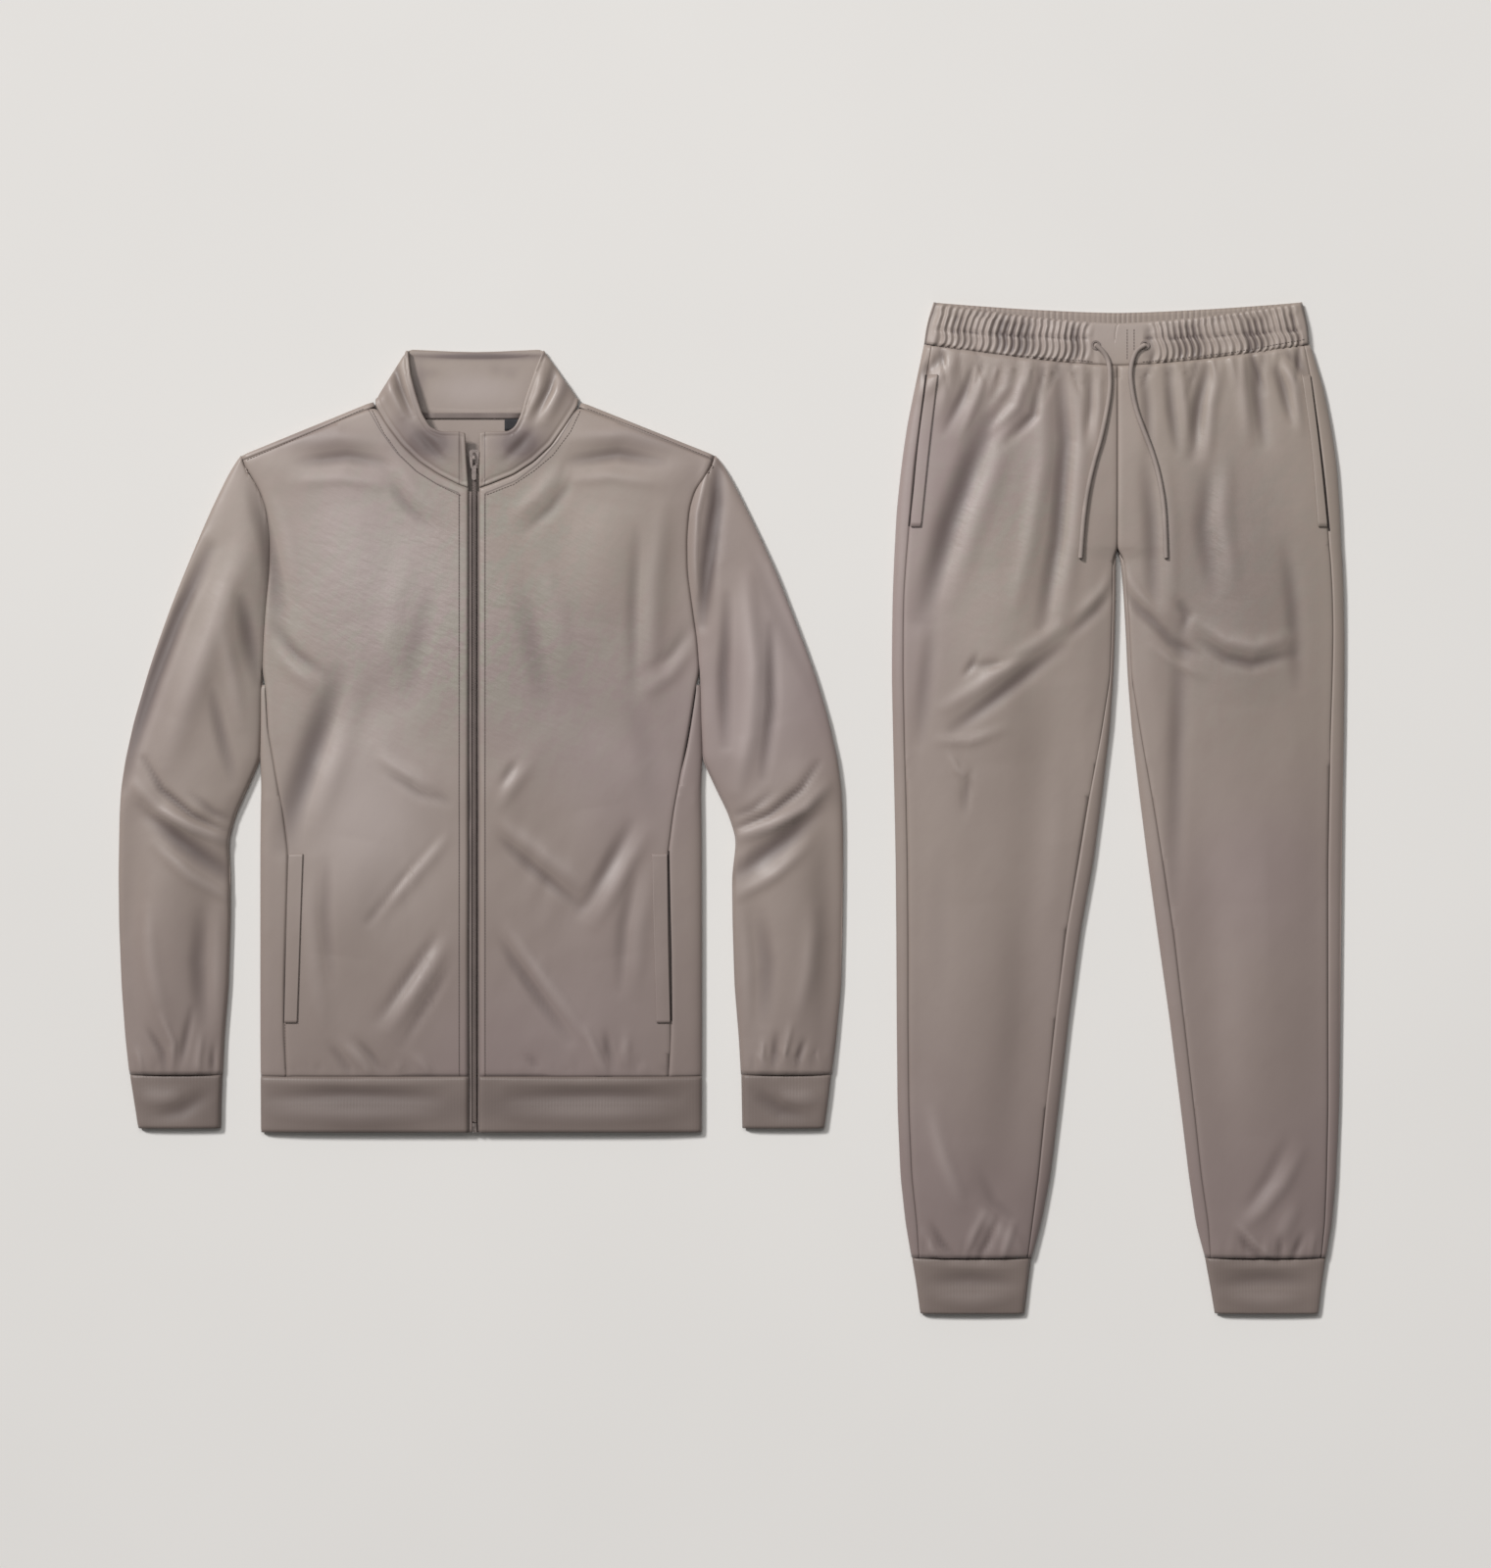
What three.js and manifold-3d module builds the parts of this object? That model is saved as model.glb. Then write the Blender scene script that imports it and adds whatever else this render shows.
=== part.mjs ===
import * as THREE from "three";
import { mergeVertices } from "three/addons/utils/BufferGeometryUtils.js";
import Module from "manifold-3d";

const wasm = await Module();
wasm.setup();

// A track jacket and joggers laid flat on the plane z = 0, neck and waist towards +Y. Millimetres.
// Right and left are the wearer's, so right is at -X. Each garment is drawn in a frame of its own:
// the jacket's starts at the foot of its zip, the joggers' at the cuffs, under the centre seam.
const CLOTH_WALL = 1.5;
const RIB_WALL = 1.8;
const WAIST_WALL = 2;
const SEAM_GAP = 0.3;
const HALF_GAP = SEAM_GAP / 2;
const EDGE_RADIUS = 4.5;
const EDGE_TOP = 2 * EDGE_RADIUS;
const WAIST_RADIUS = 5.5;
const HEM_BAND_TOP = 57;
const JACKET_PUFF = 6;
const SLEEVE_PUFF = 5;
const LEG_PUFF = 6.5;
const UNDER_SEAM_INSET = 25;
const SHOULDER_SEAM_INSET = 6;
const SHOULDER_UNDER_INSET = 14;
const SEAT_RUN = 12;
const JACKET_PLACE = [-261.85, -330.84, 0];
const JOGGERS_PLACE = [393.75, -515.84, 0];

// A table keeps the names of its columns beside its rows.
function table(names, ...rows) {
  const keys = names.split(" ");
  return rows.map((row) => Object.fromEntries(keys.map((key, i) => [key, row[i]])));
}

// Distances out from the zip line, by height. The seam is where the side panel meets the front.
const BODY = table(
  "y rightEdge rightSeam leftEdge leftSeam",
  [0, 219.3, 192, 232.3, 198],
  [57, 219.6, 191.5, 232.4, 198],
  [112, 220, 194.5, 232.5, 200.5],
  [200, 220, 192.5, 232.5, 198.6],
  [285, 220, 190, 232.3, 197.5],
  [314, 219.8, 193.5, 232, 201],
  [354, 219, 200.5, 231.5, 208],
  [400, 217.8, 210, 230.6, 216.5],
  [456, 217.2, 213.5, 229.2, 225.5],
);
const BODY_HEIGHTS = [HEM_BAND_TOP, 100, 150, 200, 245, 285, 325, 365, 410, 456];

// The sleeve from its cuff seam up to the shoulder. Its rows lean near the shoulder, so the outer
// end has a height of its own. Above UNDERARM the inner end is the armhole seam.
const UNDERARM = 456;
const SLEEVE = table(
  "y outerY rightInner rightOuter leftInner leftOuter",
  [59, 59, 257.5, 353.5, 271.5, 365],
  [95, 95, 256, 357.5, 269.5, 369.5],
  [150, 150, 251.5, 361.5, 265, 374.5],
  [215, 215, 249.5, 364, 263, 376],
  [262, 262, 249.5, 364.5, 262.5, 376.5],
  [298, 298, 251, 364, 267, 376.5],
  [325, 325, 243.5, 363.5, 258.5, 376],
  [350, 350, 232, 362, 246, 375],
  [380, 380, 220, 357.5, 233, 371],
  [420, 420, 218.5, 348.5, 231, 362],
  [456, 456, 218, 338, 230, 351.5],
  [470, 470, 217.2, 334, 229, 347],
  [500, 500, 216, 324, 227, 336],
  [535, 535, 213.5, 311.5, 222, 322.5],
  [570, 570, 210, 297.5, 217, 309],
  [605, 605, 209.5, 283, 216.5, 293],
  [635, 636, 213, 269.5, 219, 278],
  [655, 660, 220, 258, 225, 266],
  [668, 678, 227.5, 248.5, 234, 256],
  [678, 691, 234.3, 239.6, 241, 246.1],
);
const SLEEVE_CUFF = table(
  "y rightInner rightOuter leftInner leftOuter",
  [4, 259.5, 344.5, 273, 357.5],
  [30, 259, 348.5, 272.5, 361],
  [58.7, 258, 353, 272, 364.5],
);

// The neck seam and the collar's top edge, from the zip round to the side fold, with their heights.
const COLLAR = table(
  "rightX y leftX topRightX topY topLeftX z topZ",
  [6.5, 657, 5.5, 9.6, 712, 5.5, 15, 15],
  [15.5, 660, 14.5, 15, 713.5, 11.5, 15, 15.5],
  [35.5, 670, 39.5, 34, 713.5, 34.5, 15, 16],
  [55.5, 683, 60, 45, 718, 41.5, 14.6, 15.5],
  [73.5, 700, 78.5, 53, 731, 47.5, 14, 14.5],
  [89.5, 721, 93, 59, 750, 52.5, 12.6, 13],
  [100.8, 740, 105, 66, 775, 61, 10.6, 11],
);
const COLLAR_FOLD = { rightX: 102.2, leftX: 106.8, y: 747, topRightX: 70.5, topLeftX: 71, topY: 797.5 };
const COLLAR_BACK = table(
  "rightX y leftX topRightX topY topLeftX",
  [95, 742, 99, 66, 798.5, 66.5],
  [72, 735.5, 75, 44, 797.5, 44],
  [36, 731.2, 38, 22, 796.5, 22],
);
const COLLAR_BACK_CENTRE = { y: 730, topY: 796 };
const COLLAR_FOLD_RADIUS = 5;
const COLLAR_HEIGHTS = [0, 0.25, 0.5, 0.75, 1];
const COLLAR_SWELL = 2.2;

const SHOULDER = {
  right: { neck: [104.5, 746.2], tip: [239, 691] },
  left: { neck: [109, 745.5], tip: [245.5, 691] },
};
const SHOULDER_STEPS = 6;

const ZIP = {
  edge: { right: 6.5, left: 5.5 },
  tapeInner: 2.6,
  tapeOuter: 12,
  tapeSink: 0.4,
  tapeWall: 1,
  chainHalf: 2.2,
  chainSink: 0.6,
  chainWall: 2.4,
  chainFoot: 11,
  chainTop: 676,
  tapeTop: 653,
};
const ZIP_HEIGHTS = [...BODY_HEIGHTS.slice(1), 500, 540, 580, 620];
const SLIDER = { y: 686, halfLength: 9.5, headHalf: 4.9, footHalf: 3.6, thick: 2, crownHalf: 1.1 };
const PULL = { half: 2.5, tipHalf: 2.1, window: 1.6, windowLength: 8, length: 22, thick: 1.2, bar: 0.7 };
const PULL_AXIS_RISE = 3.3;
const ZIP_BOX = { width: 4.4, height: 9.5, rise: 0.1, thick: 3.4 };

const JACKET_WELT = table(
  "y rightIn rightOut leftIn leftOut",
  [112, 180.5, 193.4, 185.5, 199.4],
  [198, 177.5, 191.4, 183, 197.4],
  [284, 174.5, 189, 181, 196.4],
);
const JOGGER_WELT = table(
  "y rightIn rightOut leftIn leftOut",
  [802, 201, 211.5, 203.5, 213],
  [880, 193, 204.5, 197, 205],
  [957, 184, 194.2, 187, 195.4],
);
const WELT_WALL = 1.2;
const LIE_GAP = 0.35;
const NECK_TAPE = { x: -53, width: 100, low: 728.3, high: 734, z: 2.2, wall: 1 };
const NECK_LABEL = { x: 30, width: 20, low: 716, high: 728, z: 1.9, wall: 1 };

// Joggers, by height: distances out from the centre seam. Below CROTCH the legs part.
const CROTCH = 782;
const CENTRE_SEAM = { right: 0.5, left: -0.5 };
const LEGS = table(
  "y rightInner rightInseam rightSide rightOuter leftInner leftInseam leftSide leftOuter",
  [57, 86.5, 91, 203, 211, 88.5, 94, 208, 214],
  [85, 78.5, 87.5, 204.5, 216, 80.5, 92.5, 211, 219],
  [130, 69, 81.5, 209.5, 221.5, 73.5, 86, 213, 223.5],
  [200, 60, 74.5, 213, 225, 65, 78.5, 215, 227],
  [300, 48.5, 63.5, 214, 226, 52.5, 67, 215, 228.5],
  [400, 35, 51, 214, 226.5, 38.5, 55, 215, 229.5],
  [455, 24.5, 41, 214.5, 227, 31, 46.5, 215, 230],
  [510, 17.5, 31.5, 215.5, 228, 24, 37.5, 216, 230.5],
  [555, 10.5, 25, 217, 229, 18.5, 30, 216.5, 231.5],
  [600, 7, 14.5, 218, 230, 13.5, 21.5, 217.5, 232],
  [645, 3.8, 7.3, 219, 231, 10, 13.8, 219, 232.5],
  [690, 2, 5.6, 219, 230.8, 8, 11.6, 220, 232.6],
  [735, 1, 4.6, 218.3, 230, 5.5, 9.1, 219, 232],
  [768, 0.9, 4.5, 216, 228.7, 2.4, 6, 217, 230.5],
  [782, 0.5, 0.5, 214.8, 228, -0.5, -0.5, 215.5, 229.5],
  [820, 0.5, 0.5, 211.7, 226, -0.5, -0.5, 213, 228],
  [870, 0.5, 0.5, 207.5, 220.5, -0.5, -0.5, 208.5, 224.5],
  [920, 0.5, 0.5, 200.5, 213, -0.5, -0.5, 202, 216],
  [955, 0.5, 0.5, 195.5, 205, -0.5, -0.5, 197, 208.5],
  [990, 0.5, 0.5, 189.5, 197, -0.5, -0.5, 189.5, 195.5],
);
const LEG_HEIGHTS = [57.3, 92, 140, 210, 300, 390, 460, 525, 590, 650, 695, 735, 768, 773, 778];
const SEAT_HEIGHTS = [CROTCH, 820, 865, 905, 945];
const ANKLE_CUFF = table(
  "y rightInner rightOuter leftInner leftOuter",
  [0, 95, 202, 99.5, 206],
  [30, 91.5, 206, 94.5, 209.5],
  [56.9, 88, 210.5, 89.5, 213.5],
);

const WAIST_SEAM = { y: 966, rise: 22 };
const WAIST_TOP = { y: 1009, rise: 22 };
const WAIST_BACK_TOP = { y: 1021, rise: 11 };
const WAIST_EDGE = table(
  "y right left",
  [0, 197.2, 195.5],
  [0.5, 194.5, 193.8],
  [1, 187.4, 188.2],
);
const WAIST_HALF = 192;
const WAIST_PUFF = 2.5;
const WAIST_HEIGHTS = [0, 0.5, 1];
const WAIST_BACK_HEIGHTS = [0, 0.5, 1];
const GATHERS = { front: 56, back: 28, depth: 1.7, lean: 4, plainFrom: -29, plainTo: 33, blend: 6 };

const CORD_RADIUS = 2.4;
const CORD_SIDES = 8;

// Where each end of the drawcord lies, from its eyelet to its bare tip.
const CORD_ROUTE = {
  right: [
    [-23, 987],
    [-15.5, 980],
    [-10.5, 970],
    [-9, 956],
    [-9.5, 938],
    [-13, 916],
    [-18.5, 891],
    [-25, 868],
    [-31, 843],
    [-36, 810],
    [-39, 770],
  ],
  left: [
    [27, 987],
    [19, 981.5],
    [14, 971],
    [12, 957],
    [14, 938],
    [18, 920],
    [24, 903],
    [33, 880],
    [40, 856],
    [45, 828],
    [47, 800],
    [48, 770],
  ],
};
const EYELET = { outer: 4.8, inner: 3, thick: 0.9 };

// Soft ridges (rise above 0) and troughs, each along a line, with the half width of its slope.
const JACKET_FOLDS = table(
  "x1 y1 x2 y2 spread rise",
  [-151, 455, -188, 333, 18, -2.4],
  [-99, 385, -20, 342, 17, 2.8],
  [-20, 305, -102, 213, 17, -2.4],
  [-20, 195, -90, 88, 17, 2.4],
  [-130, 82, -108, 92, 14, 2],
  [51, 369, 18, 323, 16, 2.8],
  [18, 305, 104, 225, 17, -2.4],
  [104, 225, 159, 317, 17, -2],
  [21, 201, 94, 100, 17, -2.4],
  [116, 110, 128, 66, 14, 2.4],
  [-180, 690, -90, 684, 16, -1.8],
  [76, 680, 195, 692, 16, -1.8],
);
const SLEEVE_FOLDS = table(
  "x1 y1 x2 y2 spread rise",
  [-338, 379, -308, 333, 13, 4.5],
  [-308, 333, -254, 303, 13, 4.5],
  [-344, 342, -308, 308, 14, -2.8],
  [-308, 308, -252, 248, 14, -2.8],
  [-236, 671, -219, 560, 9, 2.4],
  [353, 375, 330, 338, 13, 4.5],
  [330, 338, 270, 306, 13, 4.5],
  [355, 333, 272, 276, 14, -2.8],
  [290, 424, 263, 333, 13, 2],
  [242, 682, 228, 551, 9, 2.4],
);
const JOGGER_FOLDS = table(
  "x1 y1 x2 y2 spread rise",
  [-121, 936, -147, 858, 15, -2.8],
  [-147, 858, -190, 720, 16, -2.6],
  [-57, 962, -60, 840, 13, -2.6],
  [-60, 840, -72, 701, 14, -2],
  [-58, 700, -129, 641, 14, 2.4],
  [-60, 680, -160, 602, 14, -2.4],
  [-140, 973, -177, 897, 12, -2.2],
  [-80, 926, -121, 880, 13, -1.8],
  [-28, 960, -34, 887, 11, -1.8],
  [91, 967, 76, 876, 13, -2.8],
  [136, 973, 145, 887, 13, -2.2],
  [32, 865, 34, 720, 13, -1.8],
  [158, 978, 169, 930, 11, -1.8],
  [64, 724, 56, 500, 20, -1.8],
  [92, 687, 160, 668, 13, -1.8],
  [-184, 199, -143, 98, 15, 2.2],
  [-124, 100, -143, 64, 10, -1.8],
  [187, 170, 137, 90, 15, 2.2],
);

const FABRIC = { color: 0xa0948e, roughness: 0.62, metalness: 0 };
const RIB = { color: 0x958983, roughness: 0.75, metalness: 0 };
const ZIP_CLOTH = { color: 0x7a706b, roughness: 0.6, metalness: 0 };
const ZIP_METAL = { color: 0x5f5854, roughness: 0.35, metalness: 0.9 };
const CORD_CLOTH = { color: 0x85786f, roughness: 0.8, metalness: 0 };
const LABEL_CLOTH = { color: 0x2f2d2f, roughness: 0.7, metalness: 0 };

const SIGN = { right: -1, left: 1 };
const SIDES = ["right", "left"];
const DOWN = new THREE.Vector3(0, 0, -1);
const UP = new THREE.Vector3(0, 0, 1);
const { lerp, clamp } = THREE.MathUtils;

// One column of a table at any height, as a smooth line that never overshoots its rows.
function read(rows, column, y) {
  const last = rows.length - 1;
  let i = 0;
  while (i < last - 1 && y > rows[i + 1].y) i += 1;
  const slope = (a) => (rows[a + 1][column] - rows[a][column]) / (rows[a + 1].y - rows[a].y);
  const turn = (a, b) => (slope(a) * slope(b) > 0 ? 2 / (1 / slope(a) + 1 / slope(b)) : 0);
  const start = i > 0 ? turn(i - 1, i) : slope(i);
  const end = i < last - 1 ? turn(i, i + 1) : slope(i);
  const span = rows[i + 1].y - rows[i].y;
  const t = clamp((y - rows[i].y) / span, 0, 1);
  const ease = t * t * (3 - 2 * t);
  const lead = t * (1 - t) * (1 - t) * start - t * t * (1 - t) * end;
  return lerp(rows[i][column], rows[i + 1][column], ease) + lead * span;
}

function ease(from, to, at) {
  const t = clamp((at - from) / (to - from), 0, 1);
  return t * t * (3 - 2 * t);
}

function swell(distance, reach) {
  return 1 - Math.exp(-Math.max(0, distance) / reach);
}

function foldHeight(folds, x, y) {
  let sum = 0;
  for (const fold of folds) {
    const dx = fold.x2 - fold.x1;
    const dy = fold.y2 - fold.y1;
    const t = clamp(((x - fold.x1) * dx + (y - fold.y1) * dy) / (dx * dx + dy * dy), 0, 1);
    const away = Math.hypot(x - fold.x1 - t * dx, y - fold.y1 - t * dy);
    sum += fold.rise * (0.5 + 0.5 * Math.sin(Math.PI * t)) * Math.exp(-((away / fold.spread) ** 2));
  }
  return sum;
}

// The height of a soft edge at a distance in from the outline: a half round, then level.
function edgeHeight(distance, radius = EDGE_RADIUS) {
  const short = Math.max(0, radius - Math.max(0, distance));
  return radius + Math.sqrt(radius * radius - short * short);
}

// The way into the wall at that distance, as its parts inward and upward.
function edgeInward(distance) {
  const across = clamp(1 - distance / EDGE_RADIUS, 0, 1);
  return [across, -Math.sqrt(1 - across * across)];
}

function fromShoulder(side, x, y) {
  const { neck, tip } = SHOULDER[side];
  const run = [tip[0] - neck[0], tip[1] - neck[1]];
  const length = Math.hypot(...run);
  return (run[1] * (Math.abs(x) - neck[0]) - run[0] * (y - neck[1])) / length;
}

// The upper face of the jacket's body.
function jacketTop(x, y) {
  const side = x < 0 ? "right" : "left";
  const armhole = y > UNDERARM;
  const edge = armhole ? read(SLEEVE, side + "Inner", y) : read(BODY, side + "Edge", y);
  const distance = edge - Math.abs(x);
  const closed = 1 - ease(UNDERARM, 470, y);
  const rim = lerp(EDGE_TOP, edgeHeight(distance), closed);
  const hemFade = 0.55 + 0.45 * ease(0, 110, y);
  const fade = swell(distance, 26) * swell(fromShoulder(side, x, y), 22);
  return rim + fade * (JACKET_PUFF * hemFade + foldHeight(JACKET_FOLDS, x, y));
}

// The upper face of one leg of the joggers, which is whole across the centre above the crotch.
function joggersTop(side, x, y) {
  const across = Math.abs(x - CENTRE_SEAM.right * SIGN.right) < 1e-6 ? 0 : SIGN[side] * x;
  const outer = read(LEGS, side + "Outer", y) - across;
  const inner = across - read(LEGS, side + "Inner", y);
  const parted = 1 - ease(765, 790, y);
  const rim = Math.min(edgeHeight(outer), lerp(EDGE_TOP, edgeHeight(inner), parted));
  const fade = swell(outer, 22) * lerp(1, swell(inner, 20), parted);
  const valley = 1.2 * (1 - parted) * Math.exp(-((inner / 9) ** 2));
  return rim - valley + fade * (LEG_PUFF + foldHeight(JOGGER_FOLDS, x, y));
}

function waistSeamY(x) {
  return WAIST_SEAM.y + WAIST_SEAM.rise * (Math.abs(x) / WAIST_HALF) ** 1.5;
}

// A closed wall from rows of points on its outer face, each with its way inwards.
// Rows and columns run so that their cross product points outwards where facing is 1.
function clothWall(rows, wall, facing) {
  const columns = rows[0].length;
  const faces = [];
  const outer = (r, c) => r * columns + c;
  const inner = (r, c) => (rows.length + r) * columns + c;
  const quad = (a, b, c, d) => faces.push(...(facing > 0 ? [a, b, c, a, c, d] : [a, c, b, a, d, c]));
  for (let r = 0; r + 1 < rows.length; r += 1) {
    for (let c = 0; c + 1 < columns; c += 1) {
      quad(outer(r, c), outer(r, c + 1), outer(r + 1, c + 1), outer(r + 1, c));
      quad(inner(r, c), inner(r + 1, c), inner(r + 1, c + 1), inner(r, c + 1));
    }
    quad(outer(r, 0), outer(r + 1, 0), inner(r + 1, 0), inner(r, 0));
    const end = columns - 1;
    quad(outer(r + 1, end), outer(r, end), inner(r, end), inner(r + 1, end));
  }
  const top = rows.length - 1;
  for (let c = 0; c + 1 < columns; c += 1) {
    quad(outer(0, c + 1), outer(0, c), inner(0, c), inner(0, c + 1));
    quad(outer(top, c), outer(top, c + 1), inner(top, c + 1), inner(top, c));
  }
  const points = rows.flat();
  const positions = [
    ...points.flatMap(({ at }) => at.toArray()),
    ...points.flatMap(({ at, inward }) => at.clone().addScaledVector(inward, wall).toArray()),
  ];
  const geometry = new THREE.BufferGeometry();
  geometry.setAttribute("position", new THREE.Float32BufferAttribute(positions, 3));
  geometry.setIndex(faces);
  geometry.computeVertexNormals();
  return geometry;
}

function piece(name, geometry, finish) {
  const mesh = new THREE.Mesh(geometry, new THREE.MeshStandardMaterial(finish));
  mesh.name = name;
  return mesh;
}

function point(x, y, z, inward) {
  return { at: new THREE.Vector3(x, y, z), inward };
}

// A patch between four edges, each a list of [x, y]: opposite edges have as many points.
function patch(bottom, top, first, last) {
  const share = (line) => {
    const lengths = [0];
    line.slice(1).forEach(([x, y], i) => {
      lengths.push(lengths[i] + Math.hypot(x - line[i][0], y - line[i][1]));
    });
    return lengths.map((length) => length / lengths.at(-1));
  };
  const [across, acrossTop, up, upLast] = [bottom, top, first, last].map(share);
  return first.map((_, j) =>
    bottom.map((__, i) => {
      const u = lerp(across[i], acrossTop[i], up[j]);
      const v = lerp(up[j], upLast[j], across[i]);
      return [0, 1].map((k) => {
        const sides = lerp(first[j][k], last[j][k], u);
        const ends = lerp(bottom[i][k], top[i][k], v);
        const [low, high] = [bottom, top].map((line) => lerp(line[0][k], line.at(-1)[k], u));
        return sides + ends - lerp(low, high, v);
      });
    }),
  );
}

function spread(from, to, count) {
  return Array.from({ length: count }, (_, i) => lerp(from, to, i / (count - 1)));
}

// A place on the shoulder's outline, moved in from it, square to it.
function shoulderPoint(side, along, inset) {
  const { neck, tip } = SHOULDER[side];
  const run = new THREE.Vector2(tip[0] - neck[0], tip[1] - neck[1]);
  const way = run.clone().normalize();
  return [neck[0] + run.x * along + way.y * inset, neck[1] + run.y * along - way.x * inset];
}

function armhole(side) {
  return SLEEVE.filter(({ y }) => y >= 470).map((row) => [row[side + "Inner"] - HALF_GAP, row.y]);
}

function jacketFront(side) {
  const sign = SIGN[side];
  const neck = COLLAR.map((row, i) => [row[side + "X"] - (i > 0 ? HALF_GAP : 0), row.y - SEAM_GAP]);
  const inset = SHOULDER_SEAM_INSET + SEAM_GAP;
  const shoulder = spread(0.2, 1, 5).map((along) => shoulderPoint(side, along, inset));
  const top = [...neck, ...shoulder];
  top[top.length - 1][0] -= 2 * SEAM_GAP;
  const outer = [
    ...BODY_HEIGHTS.map((y) => [read(BODY, side + "Seam", y) - HALF_GAP, y]),
    ...armhole(side),
    top.at(-1),
  ];
  const zipEdge = spread(HEM_BAND_TOP, top[0][1], outer.length).map((y) => [ZIP.edge[side], y]);
  const hem = spread(ZIP.edge[side], outer[0][0], top.length).map((x) => [x, HEM_BAND_TOP]);
  const rows = patch(hem, top, zipEdge, outer).map((row) =>
    row.map(([x, y]) => point(sign * x, y, jacketTop(sign * x, y), DOWN)),
  );
  return clothWall(rows, CLOTH_WALL, sign);
}

function jacketBack() {
  const edge = (side) => {
    const under = read(BODY, side + "Edge", UNDERARM);
    const low = read(BODY, side + "Edge", HEM_BAND_TOP) - UNDER_SEAM_INSET - HALF_GAP;
    return [
      ...[HEM_BAND_TOP, 190, 330, UNDERARM].map((y) => [low, y]),
      [under - 1, UNDERARM + 1.5],
      ...armhole(side).slice(0, -1),
      shoulderPoint(side, 0.995, SHOULDER_UNDER_INSET + SEAM_GAP),
    ];
  };
  const shoulder = (side) =>
    [0.7, 0.35, 0].map((along) => shoulderPoint(side, along, SHOULDER_UNDER_INSET + SEAM_GAP));
  const neckHalf = (side) => COLLAR_BACK.slice(1).map((row) => [row[side + "X"], row.y - SEAM_GAP]);
  const mirror = ([x, y]) => [-x, y];
  const right = edge("right").map(mirror);
  const left = edge("left");
  const top = [
    right.at(-1),
    ...[...shoulder("right"), ...neckHalf("right")].map(mirror),
    [0, COLLAR_BACK_CENTRE.y - SEAM_GAP],
    ...[...shoulder("left"), ...neckHalf("left")].reverse(),
    left.at(-1),
  ];
  const hem = spread(right[0][0], left[0][0], top.length).map((x) => [x, HEM_BAND_TOP]);
  const rows = patch(hem, top, right, left).map((row) => row.map(([x, y]) => point(x, y, 0, UP)));
  return clothWall(rows, CLOTH_WALL, -1);
}

// A strip's section: distances in from the outline, heights, and the way into the wall.
// It starts on top at the seam, goes over the soft edge and ends on the floor side.
function overEdge(inset, floorInset, topAt) {
  const near = Math.max(1.8, Math.min(6, inset / 2));
  const onTop = [inset, near].map((distance) => [distance, topAt(distance), ...edgeInward(distance)]);
  onTop[0].splice(2, 2, 0, -1);
  const round = [120, 60, 0].map((degrees) => {
    const angle = THREE.MathUtils.degToRad(degrees);
    const [sine, cosine] = [Math.sin(angle), Math.cos(angle)];
    return [EDGE_RADIUS * (1 - sine), EDGE_RADIUS * (1 - cosine), sine, cosine];
  });
  return [...onTop, ...round, [floorInset, 0, 0, 1]];
}

function sidePanel(side) {
  const sign = SIGN[side];
  const rows = BODY_HEIGHTS.map((height) => {
    const y = height === UNDERARM ? UNDERARM - SEAM_GAP : height;
    const edge = read(BODY, side + "Edge", y);
    const inset = edge - read(BODY, side + "Seam", height) - HALF_GAP;
    const floorInset = edge - read(BODY, side + "Edge", HEM_BAND_TOP) + UNDER_SEAM_INSET - HALF_GAP;
    const section = overEdge(inset, floorInset, (d) => jacketTop(sign * (edge - d), y));
    return section.map(([d, z, across, up]) =>
      point(sign * (edge - d), y, z, new THREE.Vector3(-sign * across, 0, up)),
    );
  });
  return clothWall(rows, CLOTH_WALL, sign);
}

function shoulderStrip(side) {
  const sign = SIGN[side];
  const end = 0.35 / 145;
  const rows = spread(end, 1 - end, SHOULDER_STEPS + 1).map((along) => {
    const section = overEdge(SHOULDER_SEAM_INSET, SHOULDER_UNDER_INSET, (d) => {
      const [x, y] = shoulderPoint(side, along, d);
      return edgeHeight(d) + Math.max(0, jacketTop(sign * x, y) - EDGE_TOP) * ease(0, 6, d);
    });
    return section.map(([d, z, across, up]) => {
      const [x, y] = shoulderPoint(side, along, d);
      const [fromX, fromY] = shoulderPoint(side, along, 0);
      const way = new THREE.Vector2(x - fromX, y - fromY).normalize();
      if (d === 0) way.set(0, 0);
      return point(sign * x, y, z, new THREE.Vector3(sign * way.x * across, way.y * across, up));
    });
  });
  return clothWall(rows, CLOTH_WALL, -sign);
}

// The end of a strip that turns up over a soft edge by an angle, from the end back to the floor run.
function turnedEnd(angle, run, steps) {
  const centre = EDGE_RADIUS * Math.sin(Math.min(angle, Math.PI / 2));
  const arc = EDGE_RADIUS * angle;
  return Array.from({ length: steps + 1 }, (_, i) => {
    const even = ((arc + run) * i) / steps;
    const bent = i < steps ? (arc * i) / (steps - 1) : arc + run;
    const mark = lerp(even, bent, angle / Math.PI);
    const left = angle - mark / EDGE_RADIUS;
    if (left <= 0) return [centre + mark - arc, 0, 0, 1];
    const [sine, cosine] = [Math.sin(left), Math.cos(left)];
    return [centre - EDGE_RADIUS * sine, EDGE_RADIUS * (1 - cosine), sine, cosine];
  });
}

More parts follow.
